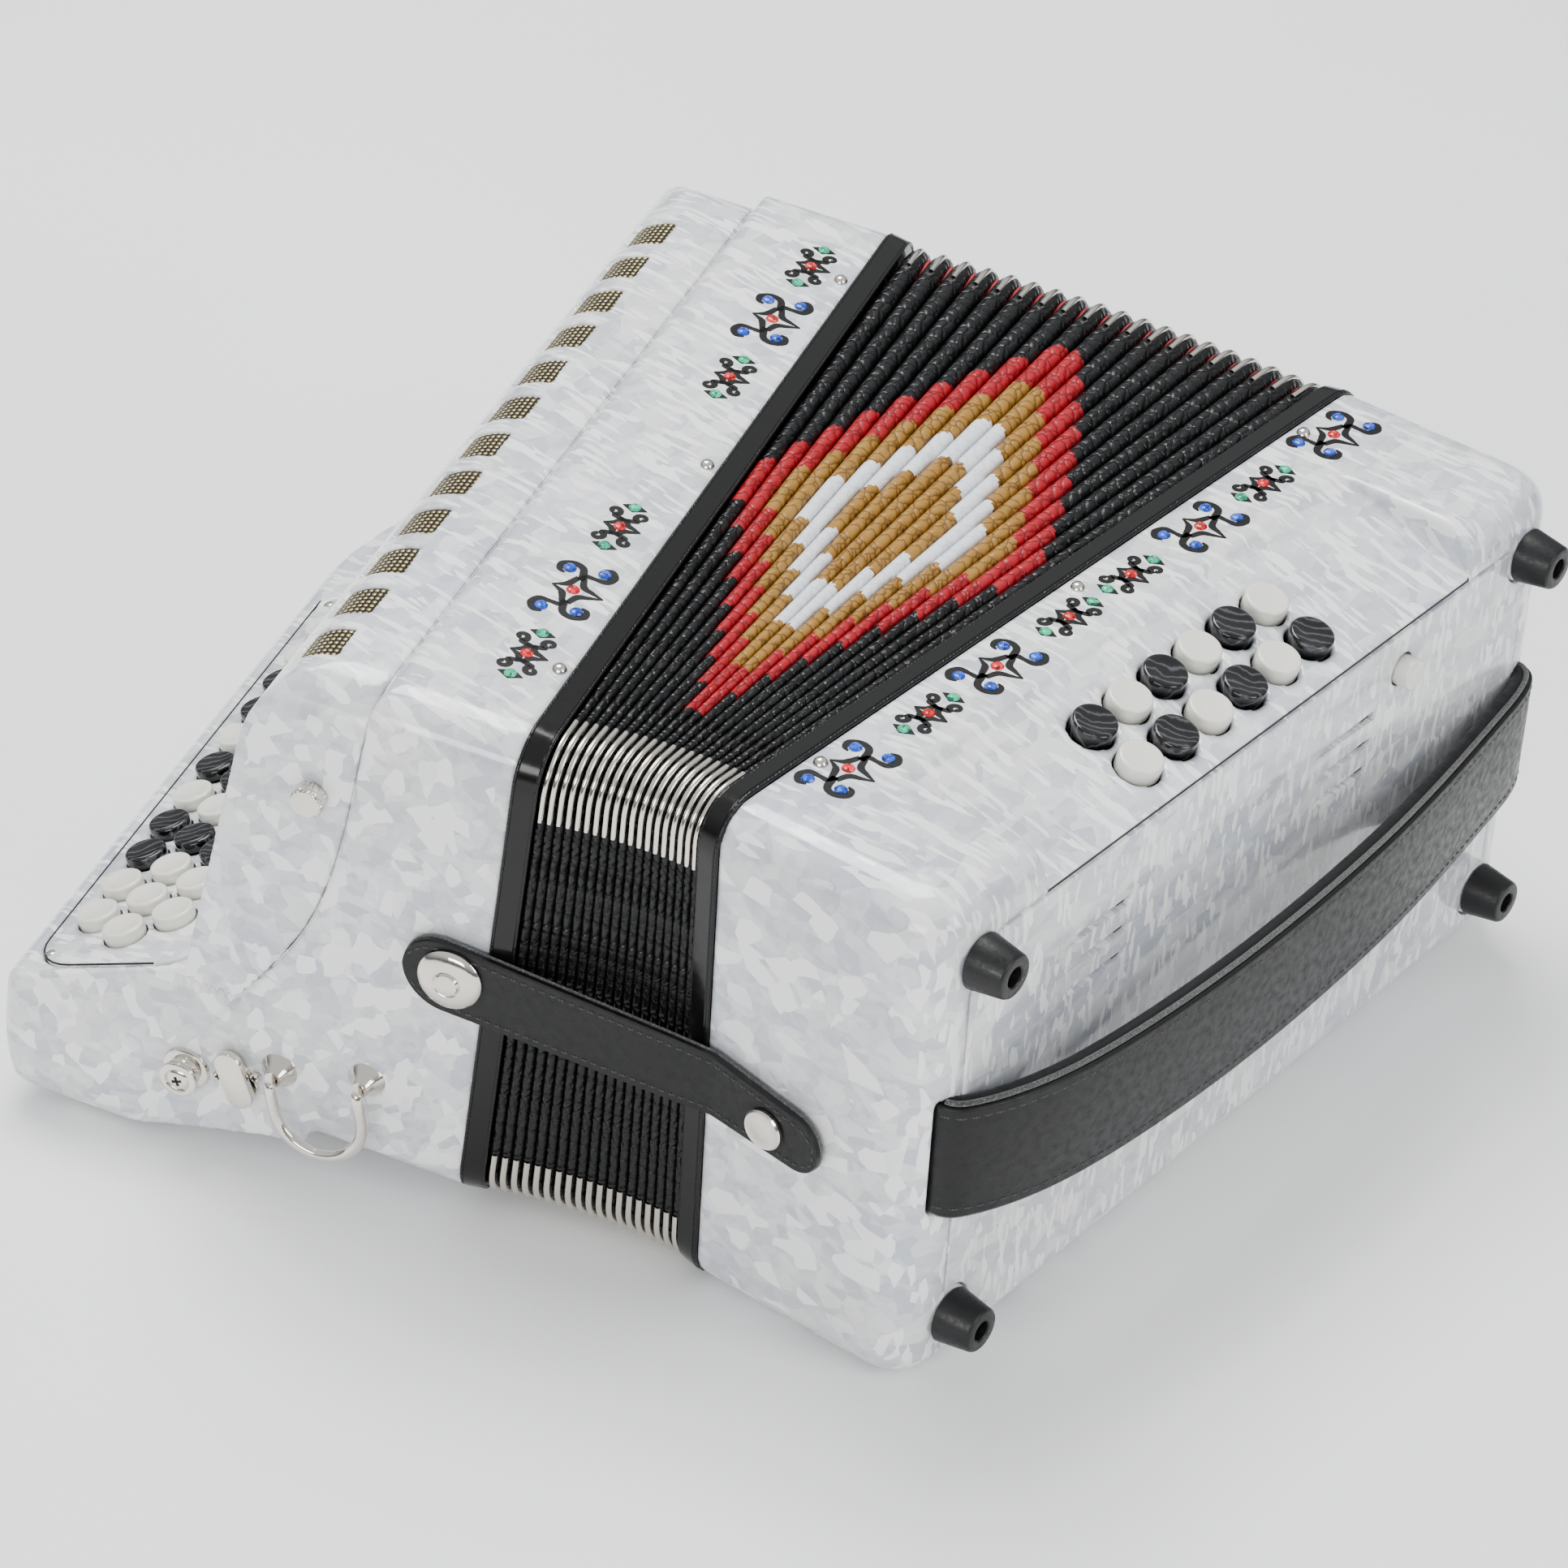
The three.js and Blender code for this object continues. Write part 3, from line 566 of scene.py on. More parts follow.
PEARL = pearl_look()
GLOSS = plain_look("frame_gloss", (0.004, 0.0038, 0.0035), 0.16, 160, 0.08, Specular_IOR_Level=0.3)
TAPE_BLACK = leather_look("bellows_tape", grey(0.0015), (0.006, 0.006, 0.0065), 0.27, 0.85)
TAPE_RED = leather_look("bellows_red", (0.13, 0.003, 0.006), (0.33, 0.008, 0.016), 0.34, 0.8)
TAPE_GOLD = leather_look("bellows_gold", (0.11, 0.05, 0.007), (0.31, 0.16, 0.03), 0.34, 0.85)
TAPE_WHITE = leather_look("bellows_white", (0.58, 0.60, 0.64), (0.72, 0.735, 0.76), 0.34, 0.12)
CLOTH_RED = plain_look("gusset_red", (0.42, 0.012, 0.018), 0.6, 1400, 0.4)
LEATHER = leather_look("strap_leather", grey(0.0015), (0.004, 0.004, 0.0043), 0.42, 0.12, 3.2, 0.0004)
NICKEL = metal_look("nickel", (0.70, 0.68, 0.64), 0.12)
CREAM = plain_look(
    "button_cream", (0.74, 0.725, 0.65), 0.14, 150, 0.05, 0.05, Coat_Weight=0.4, Coat_Roughness=0.05)
BLACK_PEARL = black_pearl_look()
RUBBER = plain_look("rubber", (0.006, 0.006, 0.0065), 0.42, 500, 0.15, 0.3, Specular_IOR_Level=0.35)
INK = plain_look("ink", (0.006, 0.005, 0.0045), 0.42, 700, 0.15, 0.3, Specular_IOR_Level=0.2)
WHITE_INLAY = plain_look("white_inlay", (0.86, 0.86, 0.84), 0.2, 300, 0.05, 0.05)
# painted shade: the near black laid in seams, screw slots and vents, where only shade falls
DARK = plain_look("painted_gap_shade", (0.006, 0.006, 0.006), 0.8, 300, 0.2)
GEM_RED = gem_look("gem_red", (0.62, 0.008, 0.012))
GEM_BLUE = gem_look("gem_blue", (0.008, 0.075, 0.56))
GEM_GREEN = gem_look("gem_green", (0.01, 0.40, 0.20))
GRILLE = mesh_look()
THREAD = thread_look()
CUT_EDGE = flock_look()


# ---- cases ----
def recess_height(x):
    return DEPTH - RECESS_STEP - (x - RECESS_START) * math.tan(RECESS_SLOPE)


def cases():
    softened("bass_shell", "bass_case", PEARL, 1.15, 6)
    softened("treble_shell", "treble_case", PEARL, 1.15, 6)
    softened("grille_cover", "treble_cover", PEARL, 0.85, 6)
    bevelled("end_plate", "bass_end_plate", PEARL, 0.7)
    bevelled("button_board", "treble_button_board", PEARL, 0.5)


# ---- rounded loops round the cases, frames and bellows ----
def loop_stations(half, low, high, radius, fine, coarse):
    """Points and outward normals round a rounded rectangle in (y, z), starting along the front."""
    centres = ((-half + radius, high - radius), (half - radius, high - radius),
               (half - radius, low + radius), (-half + radius, low + radius))
    points, normals = [], []
    for side in range(4):
        here, there = np.array(centres[side]), np.array(centres[(side + 1) % 4])
        facing = math.pi / 2 - side * math.pi / 2
        out = np.array([math.cos(facing), math.sin(facing)])
        step = fine if side in (0, 3) else coarse
        count = max(2, int(np.linalg.norm(there - here) / step))
        for t in np.linspace(0, 1, count, endpoint=False):
            points.append(here + (there - here) * t + out * radius)
            normals.append(out)
        arc = max(4, int(radius * math.pi / 2 / fine))
        for t in np.linspace(0, math.pi / 2, arc, endpoint=False):
            way = np.array([math.cos(facing - t), math.sin(facing - t)])
            points.append(there + way * radius)
            normals.append(way)
    return np.array(points), np.array(normals)


def ring_sweep(profile, half, low, high, radius, step=3.0):
    """A closed solid: a profile of (x, outset) pairs carried round a rounded rectangle."""
    points, normals = loop_stations(half, low, high, radius, step, step)
    rings = [
        np.column_stack([np.full(len(profile), 0.0) + [x for x, _ in profile],
                         p[0] + n[0] * np.array([o for _, o in profile]),
                         p[1] + n[1] * np.array([o for _, o in profile])])
        for p, n in zip(points, normals)
    ]
    return tube(rings, closed=True)


def bellows_frames():
    """The two glossy frames, each with a beaded gasket along both edges."""
    inner = -FRAME_RIM
    for name, side, sign in (("bass", "bass_side", -1), ("treble", "treble_side", 1)):
        near, far = 0.35, FRAME_THICK - 0.1
        profile = [
            (near, inner), (near, 0.2), (near + 0.5, 0.7), (far - 0.6, -0.1), (far, -0.7), (far, inner)]
        part = ring_sweep([(sign * x, o) for x, o in profile], HALF + 0.4, 0.4, DEPTH + 0.4, EDGE_ROUND + 1.4)
        solid(f"{name}_frame", part, GLOSS, side, replaces=f"{name}_bellows_frame")
        for edge, x, outset, thick in (("case", 0.15, 0.55, 0.75), ("bellows", FRAME_THICK - 0.3, -0.3, 0.6)):
            points, normals = loop_stations(HALF + 0.4, 0.4, DEPTH + 0.4, EDGE_ROUND + 1.4, 0.55, 0.55)
            turn = full_turn(8)
            count = len(points)
            bead = 1 + 0.16 * np.cos(np.arange(count) * math.pi / 1.5) + 0.1 * rng.standard_normal(count)
            rings = np.empty((len(points), 8, 3))
            for j, a in enumerate(turn):
                reach = outset - thick + thick * np.sin(a) * bead
                rings[:, j, 0] = sign * (x + thick * 0.9 * np.cos(a))
                rings[:, j, 1:] = points + normals * reach[:, None]
            solid(f"{name}_gasket_{edge}", tube(rings, closed=True), TAPE_BLACK, side, crease=80)


# ---- bellows ----
BELLOWS_HALF, BELLOWS_LOW, BELLOWS_HIGH, BELLOWS_ROUND = HALF - 1, 1, DEPTH - 1, 14
BAND_STEP = 13.3         # each fold's coloured tape is this much shorter than its neighbour's
CREST_SHARE = 0.462      # half the crest's width, as a share of a fold
CREST_ARC = 9            # points across the crest


def fold_profile():
    """Rows of (share across the fold, how much of the crest's own depth, how much of the full depth)."""
    arc = np.linspace(-math.pi / 2, math.pi / 2, CREST_ARC)
    crest = [(CREST_SHARE * math.sin(a), 1 - math.cos(a), 0.0) for a in arc]
    left = [(-0.5, 0, 1.0), (-0.487, 0, 0.55), (-0.47, 1.5, 0.0)]
    right = [(-share, own, full) for share, own, full in reversed(left)]
    return left + crest + right + [(0.5, 0, 1.09), (-0.5, 0, 1.09)]


def band(fold, y):
    """Which tape a fold wears at y on the front: black, red, gold, white, then gold, in nested diamonds."""
    centre = FOLDS / 2
    steps = centre - abs(fold - centre) - np.abs(y) / BAND_STEP
    kinds = np.select([steps < 0, steps < 2, steps < 4, steps < 6], [0, 1, 2, 3], 2)
    return np.where(fold == 0, 0, kinds)


def wrinkles(s, across, seed):
    """Ridges that run slantwise over a crest, 3 to 5 mm apart, never quite alike."""
    local = np.random.default_rng(seed)
    drift = sum(
        0.5 * np.sin(s / length + local.uniform(0, 6.3)) for length in (7.3, 11.9, 23.0))
    lean = local.choice([-1, 1]) * (0.75 + 0.35 * np.sin(s / 31 + local.uniform(0, 6.3)))
    first = 1 - np.abs(np.sin(math.pi * (s / 4.3 + drift + lean * across)))
    second = 1 - np.abs(np.sin(math.pi * (s / 6.1 - drift * 0.8 - 1.2 * lean * across + 0.7)))
    return 0.55 * first ** 1.6 + 0.35 * second ** 1.6 - 0.35


def bellows_fold(fold, points, normals, profile):
    count, rows = len(points), len(profile)
    share = np.array([p[0] for p in profile])[None, :]
    own = np.array([p[1] for p in profile])[None, :]
    full = np.array([p[2] for p in profile])[None, :]
    steps = np.linalg.norm(np.roll(points, -1, 0) - points, axis=1)
    s = (np.cumsum(steps) - steps)[:, None] * np.ones((1, rows))
    spacing = fold_spacing(points[:, 0], points[:, 1])[:, None]
    on_front = (normals[:, 1] > 0.9)[:, None]
    crest = (np.abs(share) <= CREST_SHARE + 1e-6) & (full == 0)
    lean = 0.55 * share * spacing * (1 if fold > FOLDS / 2 else -1)
    kind = np.where(on_front, band(fold, points[:, :1] + lean), 0)
    smooth = np.where(kind == 3, 0.12, np.where(kind > 0, 1.0, 0.85))
    bulge = wrinkles(s, share * 2, 40 + fold) * 0.5 * smooth * np.cos(share * math.pi) ** 0.5
    lift = np.where(crest, bulge + np.where(kind > 0, 0.22, 0), 0)
    inset = own * np.clip(spacing * 0.5, 1.2, 4.2) + full * FOLD_DEPTH - lift
    part = (fold + 0.5 + share) / FOLDS * np.ones((count, 1))
    closed = np.empty((count, rows, 3))
    closed[..., 0] = BELLOWS_START - part * BELLOWS_RUN
    closed[..., 1:] = points[:, None] - normals[:, None] * inset[..., None]
    verts, faces = tube(fanned(closed, part), closed=True)
    uv = np.stack([s, share * spacing], -1).reshape(-1, 2) * MM
    looks = [TAPE_BLACK, TAPE_RED, TAPE_GOLD, TAPE_WHITE]
    obj = solid(f"bellows_fold_{fold + 1:02d}", (verts, faces), looks, crease=75, uv=uv)
    flat_kind, flat_crest = kind.reshape(-1), (crest * np.ones((count, 1))).reshape(-1)
    for polygon in obj.data.polygons:
        corner_kinds = [int(flat_kind[v]) if flat_crest[v] else 0 for v in polygon.vertices]
        polygon.material_index = min(corner_kinds, key=corner_kinds.count) if 0 in corner_kinds and \
            corner_kinds.count(0) < 2 else max(set(corner_kinds), key=corner_kinds.count)
    return fan_piece(obj)


def near_corner(corner, before, after, points, normals):
    """The loop's points near a corner, in order, and how far from its middle each one lies.

    Corners 0 to 3 are the closed end's front, the open end's front, its back, and the closed end's back.
    """
    diagonal = np.array([(-1, 1), (1, 1), (1, -1), (-1, -1)][corner]) / math.sqrt(2)
    steps = np.linalg.norm(np.roll(points, -1, 0) - points, axis=1)
    s = np.cumsum(steps) - steps
    total = steps.sum()
    gap = (s - s[np.argmax(normals @ diagonal)] + total / 2) % total - total / 2
    chosen = np.flatnonzero((gap > -before) & (gap < after))
    chosen = chosen[np.argsort(gap[chosen])]
    return chosen, gap[chosen]


def corner_cap(fold, corner, before, after, points, normals, arc_length):
    """A nickel strip round one corner of a fold, running on by before and after along the two sides."""
    chosen, _ = near_corner(corner, before + arc_length, after + arc_length, points, normals)
    spacing = fold_spacing(points[chosen, 0], points[chosen, 1])
    half = np.clip(spacing * 0.34, 0.75, 1.1)[:, None]
    arc = np.linspace(-1.75, 1.75, 9)
    outer = np.stack([np.sin(arc), np.cos(arc)])
    inner = outer[:, ::-1] * 0.72
    ring = np.concatenate([outer, inner], 1)
    across = half * ring[0][None]
    out = 0.75 + half * (ring[1][None] - 1)
    part = (fold + 0.5) / FOLDS
    closed = np.empty((len(chosen), ring.shape[1], 3))
    closed[..., 0] = BELLOWS_START - part * BELLOWS_RUN + across
    closed[..., 1:] = points[chosen][:, None] + normals[chosen][:, None] * out[..., None]
    verts, faces = tube(fanned(closed, part))
    return verts, faces, np.full(len(verts), part)


def gusset(valley, corner, points, normals):
    """A patch of red cloth that closes the valley between two folds at a corner."""
    reach, wide = 17, 0.42
    chosen, gap = near_corner(corner, reach, reach, points, normals)
    share = np.linspace(-wide, wide, 7)
    depth = 0.9 + 1.4 * (1 - (share / wide) ** 2) + 2.4 * (np.abs(gap)[:, None] / reach) ** 2
    both = np.concatenate([depth, depth[:, ::-1] + 0.5], 1)
    across = np.concatenate([share, share[::-1]])
    part = (valley + across)[None, :] / FOLDS * np.ones((len(chosen), 1))
    closed = np.empty((*part.shape, 3))
    closed[..., 0] = BELLOWS_START - part * BELLOWS_RUN
    closed[..., 1:] = points[chosen][:, None] - normals[chosen][:, None] * both[..., None]
    verts, faces = tube(fanned(closed, part))
    return verts, faces, part.reshape(-1)


def fan_group(name, parts, material):
    verts, faces = joined([(v, f) for v, f, _ in parts])
    obj = solid(name, (verts, faces), material, crease=50)
    return fan_piece(obj)


def bellows():
    size = (BELLOWS_HALF, BELLOWS_LOW, BELLOWS_HIGH, BELLOWS_ROUND)
    points, normals = loop_stations(*size, 1.15, 1.15)
    profile = fold_profile()
    folds = [bellows_fold(fold, points, normals, profile) for fold in range(FOLDS)]
    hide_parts("bellows")
    points, normals = loop_stations(*size, 1.6, 1.6)
    arc = BELLOWS_ROUND * math.pi / 4
    for name, corner, before, after in (
            ("closed_front", 0, 9, 7), ("open_front", 1, 7, 5),
            ("open_back", 2, 5, 7), ("closed_back", 3, 7, 6)):
        caps = [corner_cap(k, corner, before, after, points, normals, arc) for k in range(FOLDS)]
        fan_group(f"corner_caps_{name}", caps, NICKEL)
    valleys = [(k, corner) for corner in (1, 2) for k in range(1, FOLDS)]
    valleys += [(k, 3) for k in range(FOLDS - 3, FOLDS)]
    fan_group("corner_gussets", [gusset(k, c, points, normals) for k, c in valleys], CLOTH_RED)


# ---- straps ----
def strap_outline(low, high, width_low, width_high, middle, taper_from):
    """Half-width along a strap with round ends."""
    x = np.concatenate([
        low + (1 - np.cos(np.linspace(0, math.pi / 2, 14))) * width_low / 2,
        np.linspace(low + width_low / 2, high - width_high / 2, 60)[1:-1],
        high - (1 - np.cos(np.linspace(math.pi / 2, 0, 14))) * width_high / 2,
    ])
    straight = np.interp(x, [low + width_low / 2, taper_from, high - width_high / 2],
                         [width_low / 2, width_low / 2 - 1, width_high / 2])
    left = np.clip((x - low) / (width_low / 2), 0, 1)
    right = np.clip((high - x) / (width_high / 2), 0, 1)
    round_left = np.sqrt(np.clip(1 - (1 - left) ** 2, 0, 1))
    round_right = np.sqrt(np.clip(1 - (1 - right) ** 2, 0, 1))
    return x, np.maximum(straight * round_left * round_right, 0.3), middle + 0 * x


def strap_lay(x, away, middle):
    """Points of the straight snap strap: x along it in the closed instrument, away from the end faces, z."""
    y = -HALF - SNAP_STAND - away
    lip, seat = CLOSED_SHIFT - 3.0, 6.0
    share = np.clip((seat - x) / (seat - lip), 0, 1)
    start = fanned(np.stack([lip + 0 * x, y, 0 * x + SNAP_Z], -1), 1)
    end = bass(np.stack([seat + 0 * x, y, 0 * x + SNAP_Z], -1))
    chord = end + (start - end) * share[..., None]
    on_treble = fanned(np.stack([x, y, 0 * x + SNAP_Z], -1), 1)
    on_bass = bass(np.stack([x, y, 0 * x + SNAP_Z], -1))
    laid = np.where((x < lip)[..., None], on_treble, np.where((x > seat)[..., None], on_bass, chord))
    laid[..., 2] = middle + SNAP_LEAN * (MID_X + SNAP_X - laid[..., 0])
    return laid, share


def snap_strap():
    """The stitched leather strap that holds the bellows shut at the closed end, with its washer and snap."""
    x, half, centre = strap_outline(CLOSED_SHIFT + SNAP_TREBLE, SNAP_BASS, 24.5, 19, SNAP_Z, -8)
    face = -HALF - SNAP_STAND
    layers = {"leather": (0.9, 2.7, 0.0, LEATHER), "lining": (0, 1.1, 0.25, CUT_EDGE)}
    ease = 0.45
    for name, (near, far, grow, look) in layers.items():
        edge = [(near, 0), (far - ease, 0), (far, ease)]
        section = [(out, -1, pull) for out, pull in edge] + [(out, 1, pull) for out, pull in edge[::-1]]
        rings = np.array([
            [(xi, out, ci + side * max(hi + grow - pull, 0.1)) for out, side, pull in section]
            for xi, hi, ci in zip(x, half, centre)])
        laid, part = strap_lay(rings[..., 0], rings[..., 1], rings[..., 2])
        uv = rings.reshape(-1, 3)[:, (0, 2)] * MM
        obj = solid(f"bellows_strap_{name}", tube(laid), look, uv=uv)
        fan_piece(obj)
        if name == "leather":
            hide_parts("bellows_strap")
    path = [(xi, ci + side * max(hi - 2.6, 0)) for side, order in ((1, 1), (-1, -1))
            for xi, hi, ci in list(zip(x, half, centre))[::order] if hi > 5]
    stitch_run("bellows_strap_stitches", path, lambda xz: np.column_stack(
        [xz[:, 0], np.full(len(xz), 2.75), xz[:, 1]]), (0, 1, 0), True, thick=0.42)
    washer = lathe([(0, 0), (10.0, 0), (10.1, 0.7), (9.7, 1.4), (8.4, 2.2), (6.4, 2.8), (4.4, 3.1), (4.1, 2.9),
                    (3.9, 3.2), (3.5, 3.8), (2.2, 4.2), (1.0, 4.3), (0, 4.3)])
    solid("strap_washer", stood(washer, (WASHER_X, face - 2.7, WASHER_Z), (0, -1, 0)), NICKEL, "treble_side")
    snap = lathe([(0, 0), (6.3, 0), (6.6, 0.5), (6.5, 1.2), (6.0, 1.7), (5.3, 1.6), (3.0, 1.9), (0, 2.05)])
    solid("strap_snap", stood(snap, (SNAP_X, face - 2.7, SNAP_Z - 1.5), (0, -1, 0)), NICKEL, "bass_side")


def stitch_run(name, path, lay, out, fan, body=None, pitch=3.1, length=2.1, thick=0.32, sink=0.1):
    """Separate stitches along a path of 2-D points, laid on a surface by lay()."""
    path = np.array(path, float)
    s = travelled(path)
    parts, shares = [], []
    for start in np.arange(1, s[-1] - length, pitch):
        along = np.linspace(start, start + length, 5)
        flat = np.column_stack([np.interp(along, s, path[:, k]) for k in (0, 1)])
        spine = lay(flat)
        run = heading(spine)
        up = np.array(out, float) if np.ndim(out) == 1 else out(flat)
        up = np.broadcast_to(up, spine.shape)
        side = np.cross(run, up)
        fat = thick * np.sqrt(np.sin(np.linspace(0.25, math.pi - 0.25, 5)))[:, None]
        turn = full_turn(6)
        rings = np.stack([
            spine + side * fat * math.cos(a) + up * (fat * math.sin(a) - sink) for a in turn], 1)
        if fan:
            rings, share = strap_lay(rings[..., 0], rings[..., 1], rings[..., 2])
            shares.append(share.reshape(-1))
        parts.append(tube(rings))
    obj = solid(name, joined(parts), THREAD, body, crease=80)
    return fan_piece(obj) if fan else obj


def smooth_path(points, count, closed=False):
    """A Catmull-Rom curve through a few given points."""
    p = np.array(points, float)
    p = np.vstack([p[-1:], p, p[:2]]) if closed else np.vstack([2 * p[0] - p[1], p, 2 * p[-1] - p[-2]])
    spans = len(p) - 3
    out = []
    for t in np.linspace(0, spans, count, endpoint=not closed):
        i = min(int(t), spans - 1)
        u = t - i
        a, b, c, d = p[i:i + 4]
        out.append(0.5 * (2 * b + (c - a) * u + (2 * a - 5 * b + 4 * c - d) * u ** 2
                          + (3 * b - a - 3 * c + d) * u ** 3))
    return np.array(out)


STRAP_LINE = [
    (BASS_WIDTH - 9, -STRAP_SLOT_Y), (BASS_WIDTH + 4, -STRAP_SLOT_Y + 4),
    (BASS_WIDTH + STRAP_BOW * 0.75, -108), (BASS_WIDTH + STRAP_BOW, -40),
    (BASS_WIDTH + STRAP_BOW * 0.9, 40), (BASS_WIDTH + STRAP_BOW * 0.5, 112),
    (BASS_WIDTH + 4, STRAP_SLOT_Y - 4), (BASS_WIDTH - 9, STRAP_SLOT_Y),
]


def strap_sections(line, section):
    """Carries a section of (out, z) pairs along a line in (x, y); returns rings."""
    run = heading(line)
    out = np.column_stack([run[:, 1], -run[:, 0]])
    rings = np.empty((len(line), len(section), 3))
    for j, (away, z) in enumerate(section):
        rings[:, j, :2] = line + out * away
        rings[:, j, 2] = z
    return rings, out


def rounded_section(near, far, low, high, radius, steps=4):
    """A rounded rectangle of (out, z) pairs."""
    points = []
    for cx, cz, start in ((far - radius, high - radius, 0), (near + radius, high - radius, 1),
                          (near + radius, low + radius, 2), (far - radius, low + radius, 3)):
        for t in np.linspace(0, math.pi / 2, steps):
            points.append((cx + radius * math.cos(start * math.pi / 2 + t),
                           cz + radius * math.sin(start * math.pi / 2 + t)))
    return points


def hand_strap():
    """The wide leather hand strap: an outer band, a padded lining, piping between them, and stitching."""
    low, high = STRAP_Z
    line = smooth_path(STRAP_LINE, 120)
    rings, _ = strap_sections(line, rounded_section(0.3, 2.6, low, high, 0.9))
    s = travelled(line)
    uv = np.stack([np.repeat(s[:, None], rings.shape[1], 1), rings[..., 2]], -1).reshape(-1, 2) * MM
    solid("hand_strap_band", tube(rings), LEATHER, "bass_side", uv=uv, replaces="hand_strap")

    inside = line[10:-10]
    count = len(inside)
    swell = np.sin(np.linspace(0.12, math.pi - 0.12, count)) ** 0.35
    section = np.array(rounded_section(-4.4, 0.35, low - 1.2, high + 1.2, 2.2, 5))
    pad, out = strap_sections(inside, section)
    depth = section[:, 0] < -1
    pad[:, depth, :2] += (out * (1.2 - 1.6 * swell)[:, None])[:, None]
    uv = np.stack([np.repeat(s[10:-10, None], len(section), 1), pad[..., 2]], -1).reshape(-1, 2) * MM
    padding = solid("hand_strap_pad", tube(pad), LEATHER, "bass_side", crease=80, uv=uv)

    turn = full_turn(10)
    for name, z in (("front", high + 0.6), ("back", low - 0.6)):
        piping, _ = strap_sections(inside, [(0.4 + 0.9 * math.cos(a), z + 0.9 * math.sin(a)) for a in turn])
        solid(f"hand_strap_piping_{name}", tube(piping), CUT_EDGE, "bass_side", crease=80)

    def lay(points):
        x = np.interp(points[:, 0], s, line[:, 0])
        y = np.interp(points[:, 0], s, line[:, 1])
        away = normals_at(points)
        return np.column_stack([x, y, points[:, 1]]) + away * 2.55

    def normals_at(points):
        run = heading(line)
        x = np.interp(points[:, 0], s, run[:, 1])
        y = np.interp(points[:, 0], s, -run[:, 0])
        return np.column_stack([x, y, 0 * x])

    for name, z in (("front", high - 3.2), ("back", low + 3.2)):
        run = [(s[8], z), (s[-8], z)]
        stitch_run(f"hand_strap_stitches_{name}", run, lay, normals_at, False, "bass_side",
                   pitch=3.6, length=2.5, thick=0.4)


# ---- buttons ----
def button_shape(radius, proud, stem):
    """A round button with a shallow dish in its top."""
    r = radius
    profile = [
        (0, proud - 0.55), (r * 0.3, proud - 0.52), (r * 0.55, proud - 0.38), (r * 0.74, proud - 0.12),
        (r * 0.84, proud), (r * 0.91, proud - 0.03), (r * 0.965, proud - 0.25), (r * 0.995, proud - 0.62),
        (r, proud - 1.0), (r, -1.4), (r - 0.1, -1.5), (2.4, -1.5), (2.4, -stem), (0, -stem)]
    return lathe(profile[::-1], 44)


def on_bass_field(part, x, y):
    axis = (math.sin(RECESS_SLOPE), 0, math.cos(RECESS_SLOPE))
    return stood(part, (x, y, recess_height(x)), axis)


def on_board(part, across, y, up=0.0):
    cos, sin = math.cos(BOARD_SLOPE), math.sin(BOARD_SLOPE)
    at = (BOARD_EDGE[0] + across * cos - up * sin, y, BOARD_EDGE[1] + across * sin + up * cos)
    return stood(part, at, (-sin, 0, cos))


def buttons():
    shape = button_shape(BASS_BUTTON_R, 4, 9)
    run = BASS_PITCH * math.cos(RECESS_SLOPE)
    for column in range(2):
        for row in range(6):
            node = f"bass_button_{column + 1}_{row + 1}"
            look = BLACK_PEARL if (row + column) % 2 == 0 else CREAM
            part = on_bass_field(shape, BASS_FIRST_X + column * run, BASS_FIRST_Y + row * BASS_PITCH)
            solid(node.replace("button", "cap"), part, look, node, bass, 60, replaces=node)
    shape = button_shape(KEY_R, KEY_PROUD, 12)
    for row, pattern in enumerate(KEY_DARK):
        for i, mark in enumerate(pattern):
            node = f"treble_button_{row + 1}_{i + 1}"
            y = KEY_FIRST_Y + (i - (0.5 if row == 1 else 0)) * KEY_PITCH
            part = on_board(shape, KEY_FIRST_ROW + row * KEY_ROW_GAP, y)
            look = BLACK_PEARL if mark == "1" else CREAM
            # the last button of a row is in one piece with the board, so its cap rides on the treble side
            fixed = i == len(pattern) - 1
            solid(node.replace("button", "cap"), part, look, "treble_side" if fixed else node, treble, 60,
                  replaces=None if fixed else node)
    solid("air_cap", stood(button_shape(5, 5, 10), AIR_BUTTON, (1, 0, 0)), CREAM, "air_button", bass, 60,
          replaces="air_button")


# ---- hardware ----
def feet():
    profile = [(0, 0), (FOOT_R - 0.9, 0), (FOOT_R - 0.6, 0.4), (FOOT_R - 2.35, FOOT_LONG - 0.9),
               (FOOT_R - 2.75, FOOT_LONG - 0.25), (FOOT_R - 3.3, FOOT_LONG), (3.6, FOOT_LONG), (3.2, FOOT_LONG - 0.4),
               (3.2, FOOT_LONG - 8), (0, FOOT_LONG - 8)]
    screw = lathe([(0, 0), (2.7, 0), (2.7, 1.2), (2.2, 1.7), (0, 1.9)])
    for i, (y, z) in enumerate((y, z) for z in FOOT_Z for y in (-FOOT_Y, FOOT_Y)):
        at = np.array([BASS_WIDTH + 0.3, y, z])
        solid(f"rubber_foot_{i + 1}", stood(lathe(profile), at, (1, 0, 0)), RUBBER, "bass_side",
              replaces=f"foot_{i + 1}")
        solid(f"foot_screw_{i + 1}", stood(screw, at + (FOOT_LONG - 8, 0, 0), (1, 0, 0)), NICKEL, "bass_side")


def cross_cut(at, axis, radius):
    """A cross-head: two dark bars let into a screw's top, painted shade standing for the cross slot."""
    bars = []
    for turn in (0.4, 0.4 + math.pi / 2):
        half, wide = radius * 0.62, radius * 0.16
        outline = np.array([(-half, -wide), (half, -wide), (half, wide), (-half, wide)])
        rings = [np.column_stack([outline, np.full(4, z)]) for z in (-0.2, 0.06)]
        bars.append(stood(tube(rings), at, axis, turn))
    return bars


